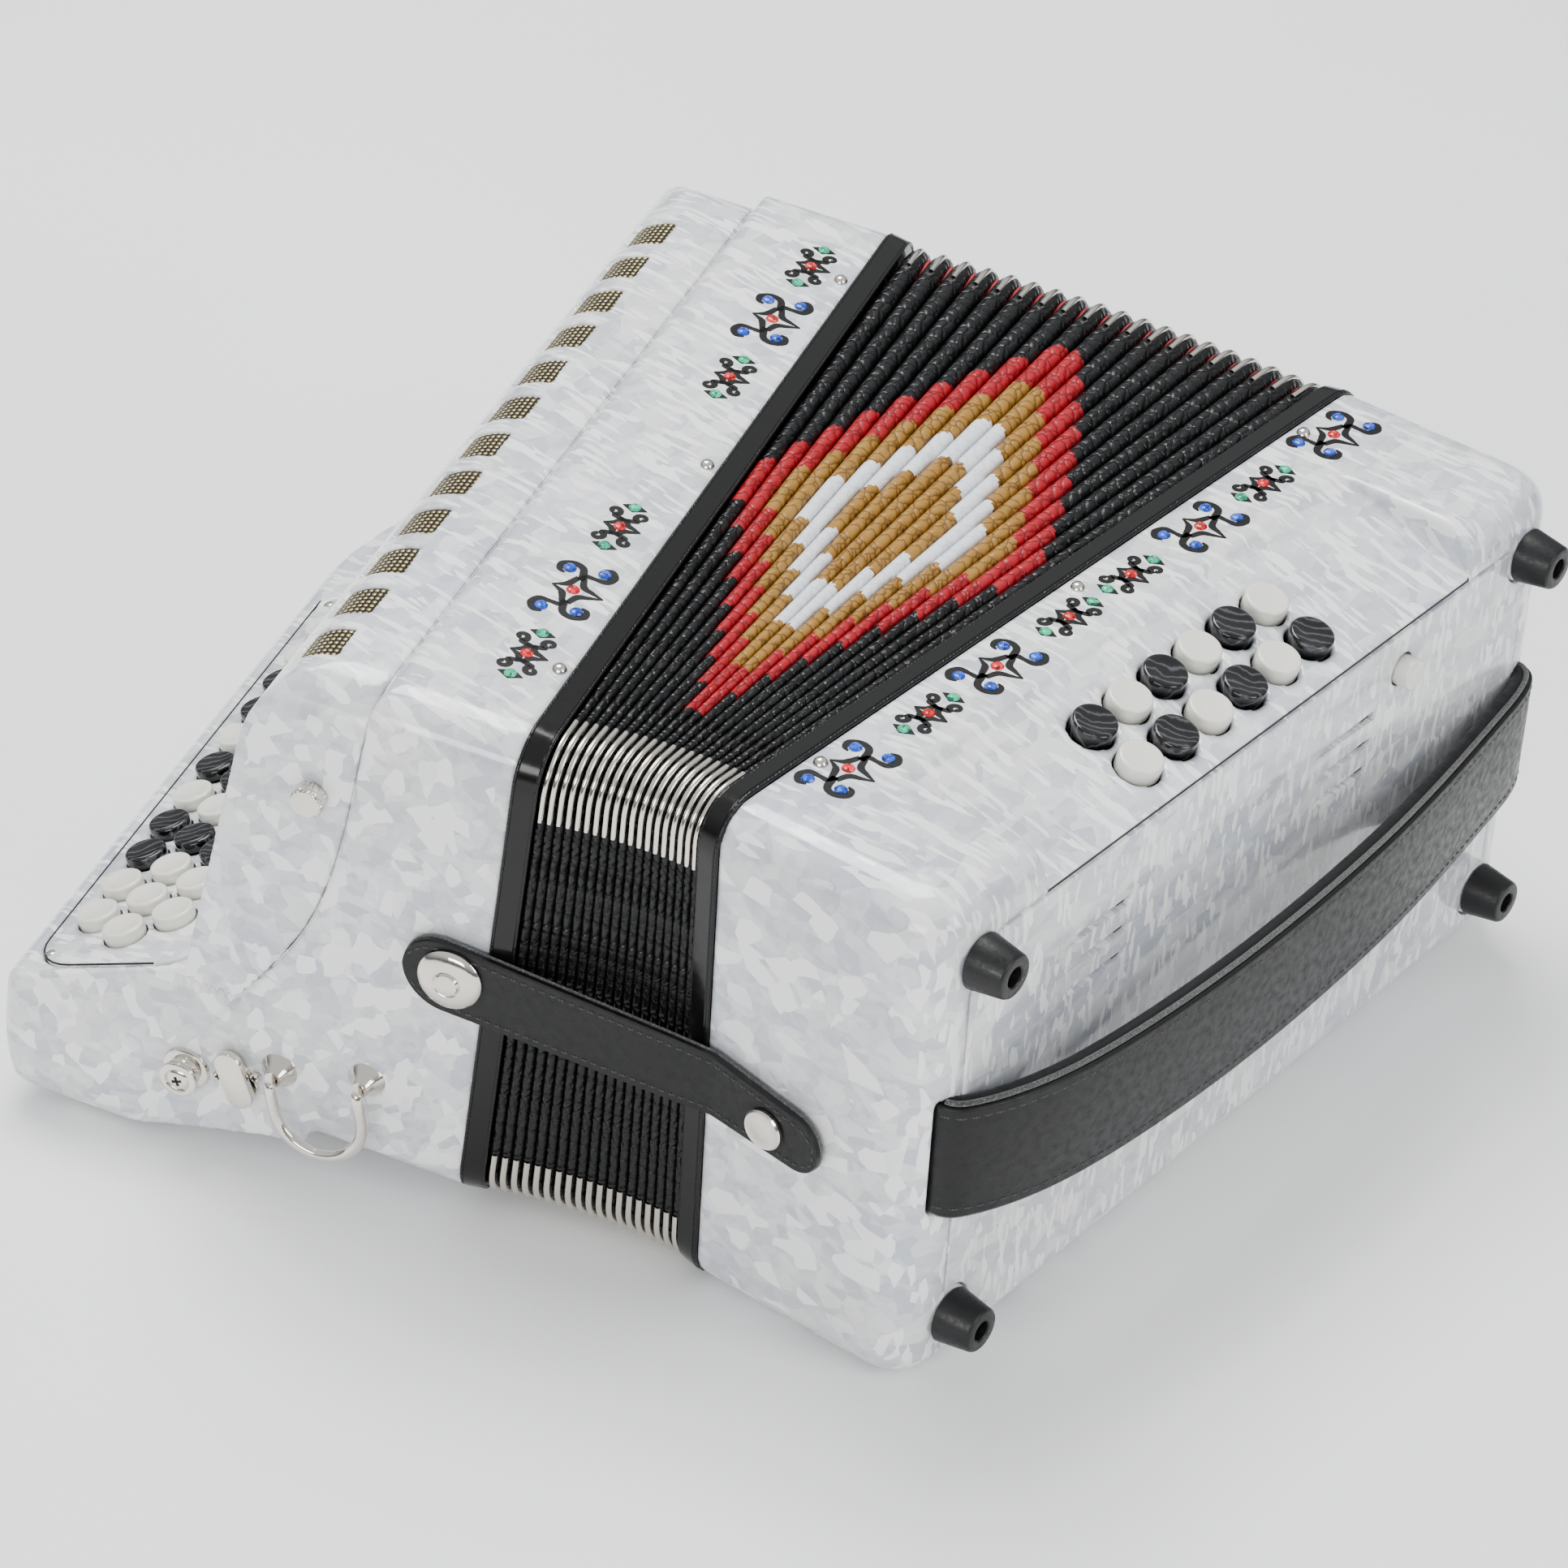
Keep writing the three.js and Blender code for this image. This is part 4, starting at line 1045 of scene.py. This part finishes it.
def end_hardware():
    """What is screwed to the treble case's end: strap button, turn latch, bail and its posts."""
    end, back = -HALF, (0, -1, 0)

    def knurl(turn, radius):
        return np.where(radius > 4.2, 0.14 * np.sign(np.sin(turn * 21)), 0)

    knob = lathe([(0, 0), (2.6, 0), (2.6, 0.8), (4.7, 0.85), (4.95, 1.3), (4.95, 4.9), (4.6, 5.4), (4.1, 5.6),
                  (2, 5.75), (0, 5.8)], 84, knurl)
    for name, y, way in (("closed", -COVER_HALF, back), ("open", COVER_HALF, (0, 1, 0))):
        solid(f"thumb_screw_{name}", stood(knob, (THUMB_X, y, THUMB_Z), way), NICKEL, "treble_side", crease=30)

    stepped = lathe([(0, 0), (7.4, 0), (7.6, 0.5), (7.2, 1.3), (6.3, 1.7), (5.2, 1.9), (4.7, 2.6), (4.6, 4.0),
                     (5.3, 4.6), (6.1, 5.2), (6.3, 5.9), (6.0, 6.6), (5.2, 7.0), (4.1, 6.9), (3.7, 6.4), (3.5, 6.6),
                     (2.6, 7.1), (0, 7.3)])
    spot = np.array([STRAP_BUTTON_X, end, STRAP_BUTTON_Z])
    solid("strap_button", stood(stepped, spot, back), NICKEL, "treble_side")
    # the dark cross is painted shade for the strap button's slot
    solid("strap_button_slot_shade", joined(cross_cut(spot + (0, -7.3, 0), back, 2.6)), DARK, "treble_side")

    lean = LATCH_LEAN
    centre = np.array([LATCH_X, end, LATCH_Z])
    outline = smooth_path([(8.6, 0), (6.9, 2.9), (2.6, 4.1), (-2.6, 4.1), (-6.9, 2.9), (-8.6, 0), (-6.9, -2.9),
                           (-2.6, -4.1), (2.6, -4.1), (6.9, -2.9)], 60, closed=True)
    levels = ((1, 0), (1, 0.9), (0.94, 1.3))
    rings = [np.column_stack([outline * k, np.full(len(outline), z)]) for k, z in levels]
    solid("latch_base", stood(tube(rings), centre, back, -lean - LATCH_BASE_TURN), NICKEL, "treble_side")
    screw = lathe([(0, 0), (1.7, 0), (1.8, 0.5), (1.3, 1.0), (0, 1.2)])
    cuts, screws = [], []
    for side in (-1, 1):
        turned = side * 6.1
        at = centre + (turned * math.cos(LATCH_BASE_TURN), -1.2, turned * math.sin(LATCH_BASE_TURN))
        screws.append(stood(screw, at, back))
        cuts += cross_cut(at + (0, -1.18, 0), back, 1.6)
    solid("latch_screws", joined(screws), NICKEL, "treble_side")
    # dark crosses: painted shade for the latch screws' slots
    solid("latch_screw_slot_shade", joined(cuts), DARK, "treble_side")

    tab = np.array(rounded_section(-4.5, 4.5, -LATCH_HALF, LATCH_HALF, 4.45, 12))
    rings = [np.column_stack([tab * (k, 0.4 * k + 0.6), np.full(len(tab), z)])
             for k, z in ((0.9, 2.2), (1, 2.4), (1, 4.0), (0.94, 4.5), (0.82, 4.7))]
    boss = lathe([(0, 0.3), (3.4, 0.3), (3.4, 3), (0, 3)])
    turn_piece = joined([tube(rings), boss])
    # the CAD turns the tab by the lean about the axis that points out of the end face
    verts, faces = turn_piece
    cos, sin = math.cos(lean), math.sin(lean)
    x, y, z = verts.T
    laid = np.column_stack([x * cos - y * sin, -z, x * sin + y * cos]) + centre
    solid("latch_tab", (laid, faces), NICKEL, "turn_latch", treble, replaces="turn_latch")

    bail = cad_copy("bail", "strap_ring", NICKEL)
    finer = bail.modifiers.new("finer", "SUBSURF")
    finer.levels = finer.render_levels = 2
    applied(bail)
    flange = lathe([
        (0, 0), (5.7, 0), (6.0, 0.4), (5.7, 1.0), (4.4, 2.4), (3.4, 4.0), (2.9, 5.2), (2.5, 5.8), (0, 5.9)])
    posts = [stood(flange, (x, end, z), back) for x, z in RING_POSTS]
    solid("bail_posts", joined(posts), NICKEL, "treble_side")


# ---- the fronts: ornaments, pins, seams ----
def ribbon(points, widths, count=40, thick=0.28, bold=1.55):
    """A flat inked stroke along a curve, as wide as it says at each of its points, times bold."""
    line = smooth_path(points, count)
    wide = bold * np.interp(np.linspace(0, 1, count), np.linspace(0, 1, len(widths)), widths)
    run = np.gradient(line, axis=0)
    run /= np.linalg.norm(run, axis=1)[:, None] + 1e-9
    side = np.column_stack([-run[:, 1], run[:, 0]]) * wide[:, None] / 2
    a, b = line + side, line - side
    flat = [np.column_stack([p, np.full(count, z)]) for p, z in ((a, 0), (a, thick), (b, thick), (b, 0))]
    return tube(np.stack(flat, 1))


def scroll(turns, start, centre, from_radius, to_radius, hand):
    """Points of a curl that winds in to a centre."""
    angles = start + hand * np.linspace(0, turns * 2 * math.pi, 8)
    radii = np.linspace(from_radius, to_radius, 8)
    return [(centre[0] + r * math.cos(a), centre[1] + r * math.sin(a)) for r, a in zip(radii, angles)]


def star(long_low, long_high, tall):
    """The four hollow sides of a star-shaped lozenge, drawn as inked strokes."""
    strokes = []
    for tip in (-long_low, long_high):
        for way in (-1, 1):
            waist = 0.36
            sign = math.copysign(1, tip)
            points = [(tip, 0), (tip * 0.6, way * tall * 0.2),
                      (sign * tall * waist, way * tall * waist * 1.15), (sign * tall * 0.13, way * tall)]
            strokes.append(ribbon(points, [0.25, 0.95, 1.5, 1.2]))
    return strokes


def ornament(large):
    """One motif: strokes, the pale ground under its middle, and its stones as (material, x, y, radius)."""
    if large:
        strokes = star(6.6, 9.4, 6.6)
        stones = [("red", 0, 0, 2.1)]
        for way in (-1, 1):
            near, far = (-4.9 * way, 9.6 * way), (5.3 * way, 11.6 * way)
            strokes.append(ribbon(
                [(0, 5.6 * way), (-0.2 * way, 8.4 * way), (-1.6 * way, 11.6 * way), (-4.9 * way, 12.6 * way),
                 (-7.7 * way, 10.6 * way), (-7.5 * way, 8.0 * way), (-5.6 * way, 6.9 * way)],
                [1.4, 1.6, 1.5, 1.3, 1.7, 1.2, 0.4]))
            strokes.append(ribbon(
                [(0, 5.8 * way), (1.0 * way, 8.2 * way), (3.6 * way, 8.3 * way), (7.2 * way, 8.6 * way),
                 (8.4 * way, 11.6 * way), (6.8 * way, 14.2 * way), (4.2 * way, 14.0 * way)],
                [1.4, 1.3, 1.0, 1.5, 1.7, 1.2, 0.4]))
            stones += [("blue", *near, 2.05), ("blue", *far, 2.05)]
        return strokes, stones, 3.0
    strokes = star(5.2, 6.6, 4.6)
    stones = [("red", 0, 0, 2.0)]
    for way in (-1, 1):
        for side in (-1, 1):
            centre = (side * 4.4, 7.0 * way)
            curl = scroll(0.95, math.atan2(-way, -side * 0.4), centre, 2.2, 0.7, -side * way)
            strokes.append(ribbon([(0, 3.8 * way)] + curl, [1.1, 1.3, 1.3, 1.2, 1.1, 1.0, 0.9, 0.8, 1.2], 48))
        stones.append(("green", 0.4 * way, 11.2 * way, 1.95))
        lozenge = [(0.4 * way - 4.0, 11.2 * way), (0.4 * way, 11.2 * way), (0.4 * way + 4.0, 11.2 * way)]
        strokes.append(ribbon(lozenge, [0.2, 4.4, 0.2], 24, 0.2, 1.1))
    return strokes, stones, 2.4


def stone(radius):
    """A cut stone: a flat table, a ring of facets and a thin girdle."""
    profile = [(0, 0.1), (1, 0.1), (1, 0.35), (0.78, 0.85), (0.45, 1.15), (0, 1.2)]
    return lathe([(radius * r, z) for r, z in profile], 10)


def fronts():
    gems = {"red": GEM_RED, "blue": GEM_BLUE, "green": GEM_GREEN}
    rows = {
        "treble": (-15.3, [(-117.3, 0), (-82.1, 1), (-45.5, 0), (46.1, 0), (83.5, 1), (118.8, 0)]),
        "bass": (12.5, [(-117.9, 1), (-80.5, 0), (-47.9, 1), (-12.4, 0), (18.6, 0), (54.7, 1), (88.1, 0),
                        (126.8, 1)]),
    }
    pins = {"treble": (-4.2, (-119.5, -2.1, 116.3)), "bass": (5.0, (-121, 2, 121))}
    pin = lathe([(0, 0), (2.0, 0), (2.2, 0.5), (1.9, 1.2), (1.2, 1.8), (0, 2.0)], 28)
    for side, (x, spots) in rows.items():
        body = f"{side}_side"
        ink, ground, stones = [], [], {"red": [], "blue": [], "green": []}
        for y, large in spots:
            strokes, gem_list, pale = ornament(large)
            shift = np.array([x, y, DEPTH - 0.12])
            ink += [(v + shift, f) for v, f in strokes]
            patch = ribbon([(-pale, 0), (0, 0), (pale, 0)], [0.3, 2 * pale, 0.3], 20, 0.22, 1)
            ground.append((patch[0] + shift, patch[1]))
            for colour, gx, gy, radius in gem_list:
                stones[colour].append(stood(stone(radius), shift + (gx, gy, 0.1), turn=rng.uniform(0, 1)))
        solid(f"{side}_ornament_ink", joined(ink), INK, body, crease=40)
        solid(f"{side}_ornament_ground", joined(ground), WHITE_INLAY, body)
        for colour, parts in stones.items():
            solid(f"{side}_stones_{colour}", joined(parts), gems[colour], body, crease=5)
        px, ys = pins[side]
        solid(f"{side}_pins", joined([stood(pin, (px, y, DEPTH - 0.1)) for y in ys]), NICKEL, body)


def thin_line(name, points, body, radius=0.28, count=80):
    """A dark line let into a surface along a seam: painted shade for the gap where two parts meet."""
    line = np.array(points, float)
    s = travelled(line)
    line = np.column_stack([np.interp(np.linspace(0, s[-1], count), s, line[:, k]) for k in range(3)])
    run = heading(line)
    side = np.cross(run, (0.13, 0.21, 1.0))
    side /= np.linalg.norm(side, axis=1)[:, None]
    up = np.cross(side, run)
    turn = full_turn(6)
    rings = np.stack([line + radius * (side * math.cos(a) + up * math.sin(a)) for a in turn], 1)
    return solid(name, tube(rings), DARK, body, crease=80)


def seams():
    """Painted shade in the gaps where separate sheets of celluloid meet: round the bass button field and the treble
    board.
    """
    inner, outer = RECESS_START + 4, BASS_WIDTH - 0.35
    top = RECESS_HALF - 0.2
    field = [(inner, top, recess_height(inner)), (outer, top, recess_height(outer)),
             (outer, -top, recess_height(outer))]
    thin_line("bass_field_seam", field, "bass_side", 0.3)
    cos, sin = math.cos(BOARD_SLOPE), math.sin(BOARD_SLOPE)
    low, high = BOARD_Y
    arc = [(BOARD_ROUND - BOARD_ROUND * math.cos(t), low + BOARD_ROUND - BOARD_ROUND * math.sin(t))
           for t in np.linspace(0, math.pi / 2, 8)]
    outline = [(0, high - 4)] + arc + [(BOARD_WIDE - 14, low)]
    thin_line("board_seam", [(BOARD_EDGE[0] + a * cos, y, BOARD_EDGE[1] + a * sin) for a, y in outline],
              "treble_side", 0.32, count=160)
    screw = lathe([(0, 0), (1.5, 0), (1.6, 0.25), (1.2, 0.5), (0, 0.6)], 24)
    spots = [(4.2, low + 6.5), (4.2, high - 6.5)]
    solid("board_screws", joined([on_board(screw, a, y) for a, y in spots]), NICKEL, "treble_side")


def vents():
    """Painted shade in the end plate's vents: dark blocks at the deep end of each groove."""
    parts = []
    for y in VENT_Y:
        for z in VENT_Z:
            outline = np.array(rounded_section(y - 4.2, y - 0.15, z - 1.2, z + 1.2, 0.6))
            parts.append(tube([np.column_stack([np.full(len(outline), x), outline]) for x in
                               (BASS_WIDTH - 4.8, BASS_WIDTH - 1.6)]))
    solid("vent_shade_blocks", joined(parts), DARK, "bass_side")


def cover_joint():
    """The strip of celluloid in the joint between the treble case and its cover, just under the surface."""
    curve = np.array(
        bezier([(-40, DEPTH), (-45, DEPTH), (-45.5, DEPTH - 7)], 8)
        + bezier([(-45.5, DEPTH - 7), (-48, DEPTH - 50), (-50, DEPTH - 80), (-64, DEPTH - 104)], 30)[1:]
        + bezier([(-64, DEPTH - 104), (-71, DEPTH - 118), (-84, 33)], 12)[1:])
    run = heading(curve)
    out = np.column_stack([run[:, 1], -run[:, 0]])
    sign = np.where(out[:, :1] > 0, -1, 1)
    sheets = [curve + out * sign * gap for gap in (0.08, 0.44)]
    rings = []
    bend = COVER_ROUND
    for y in np.linspace(-COVER_HALF + 0.6, COVER_HALF - 0.6, 90):
        past = max(abs(y) - (COVER_HALF - 0.6 - bend), 0)
        top = COVER_TOP - 0.7 - bend + math.sqrt(max(bend ** 2 - past ** 2, 0))
        heights = np.linspace(top, 62, 60)
        sides = []
        for sheet in sheets:
            x = np.interp(heights, sheet[::-1, 1], sheet[::-1, 0])
            sides.append(np.column_stack([x, np.full(60, y), heights]))
        rings.append(np.concatenate([sides[0], sides[1][::-1]]))
    solid("cover_joint", tube(rings), PEARL, "treble_side")


def grille():
    """Woven mesh let into the cover's slots, just under its surface."""
    curve = np.array([(-50, 0), *bezier([(-57, 0), (-72, 0), (-80.5, -8), (-84.3, -25)], 24)])
    run = heading(curve)
    inward = np.column_stack([-run[:, 1], run[:, 0]])
    # along the bend: how far each point lies from the middle of the corner, measured at 45 degrees
    along = (curve[:, 0] + 78 + curve[:, 1] + 8) * math.sqrt(0.5)
    kept = (along > 0.6) & (along < 16.6)
    outer, normal = curve[kept], inward[kept]
    length = travelled(outer)
    loop = np.concatenate([outer + normal * 1.1, (outer + normal * 1.5)[::-1]])
    dist = np.concatenate([length, length[::-1]])
    parts, uvs = [], []
    for i in range(SLOT_COUNT):
        middle = (i - (SLOT_COUNT - 1) / 2) * SLOT_PITCH + SLOT_SHIFT
        ys = np.linspace(middle - SLOT_WIDE / 2 - 0.4, middle + SLOT_WIDE / 2 + 0.4, 5)
        parts.append(tube(np.array([[(x, y, COVER_TOP + z) for x, z in loop] for y in ys])))
        uvs.append(np.array([[(y * MM, d * MM) for d in dist] for y in ys]).reshape(-1, 2))
    solid("grille_mesh", joined(parts), GRILLE, "treble_side", uv=np.concatenate(uvs))


# ---- studio ----
def area_light(name, at, toward, size, power, colour=(1, 1, 1)):
    light = bpy.data.lights.new(name, "AREA")
    light.shape = "RECTANGLE"
    light.size, light.size_y = size
    light.energy = power
    light.color = colour
    obj = bpy.data.objects.new(name, light)
    bpy.context.scene.collection.objects.link(obj)
    obj.location = at
    obj.rotation_euler = (Vector(toward) - Vector(at)).to_track_quat("-Z", "Y").to_euler()


def studio():
    mesh = bpy.data.meshes.new("floor")
    reach = 6.0
    n = 24
    lines = np.linspace(-reach, reach, n)
    mesh.from_pydata([(x, y, -0.0004) for x in lines for y in lines], [], grid(n, n, wrap_m=False))
    floor = bpy.data.objects.new("floor", mesh)
    bpy.context.scene.collection.objects.link(floor)
    paper = Look("floor", (0.92, 0.92, 0.92), 0.9)
    at = paper.where("Object")
    paper.set("Base Color", paper.ramp(paper.noise(at, 3, 3), (0.3, grey(0.90)), (0.7, grey(0.93))))
    paper.bump(paper.noise(at, 800, 2), 0.05, 0.0005)
    mesh.materials.append(paper.material)

    world = bpy.data.worlds.new("studio")
    bpy.context.scene.world = world
    world.use_nodes = True
    sky = world.node_tree.nodes["Background"]
    nodes, links = world.node_tree.nodes, world.node_tree.links
    height = nodes.new("ShaderNodeSeparateXYZ")
    links.new(nodes.new("ShaderNodeTexCoord").outputs["Generated"], height.inputs[0])
    fade = nodes.new("ShaderNodeValToRGB")
    links.new(height.outputs[2], fade.inputs[0])
    fade.color_ramp.elements[0].position = 0.05
    fade.color_ramp.elements[0].color = (0.16, 0.17, 0.18, 1)
    fade.color_ramp.elements[1].position = 0.55
    fade.color_ramp.elements[1].color = (0.95, 0.975, 1.0, 1)
    links.new(fade.outputs[0], sky.inputs[0])
    sky.inputs[1].default_value = 0.9
    area_light("key", (-0.5, 0.3, 1.6), (0, 0, 0.08), (0.9, 0.8), 36)
    area_light("front", (0.55, -1.5, 0.75), (0, 0, 0.08), (1.0, 0.4), 15)
    area_light("side", (1.7, 0.1, 0.9), (0, 0, 0.08), (0.6, 0.9), 13)


def camera():
    """The photograph's view: from the front left of the closed end, above."""
    azimuth, elevation, roll = (math.radians(a) for a in (36.538, 35.188, 3.58))
    level = math.cos(elevation)
    back = Vector((math.sin(azimuth) * level, -math.cos(azimuth) * level, math.sin(elevation)))
    right = Vector((math.cos(azimuth), math.sin(azimuth), 0))
    up = back.cross(right) * math.cos(roll) - right * math.sin(roll)
    side = up.cross(back)
    data = bpy.data.cameras.new("camera")
    data.sensor_width = 36
    data.lens = 127.07
    data.clip_end = 50
    obj = bpy.data.objects.new("camera", data)
    bpy.context.scene.collection.objects.link(obj)
    obj.matrix_world = Matrix((
        (side.x, up.x, back.x, (MID_X + 757.216) * MM), (side.y, up.y, back.y, (MID_Y - 1152.794) * MM),
        (side.z, up.z, back.z, 1.06338),
        (0, 0, 0, 1)))
    bpy.context.scene.camera = obj


cases()
bellows_frames()
bellows()
snap_strap()
hand_strap()
buttons()
feet()
end_hardware()
fronts()
seams()
vents()
cover_joint()
grille()
studio()
camera()
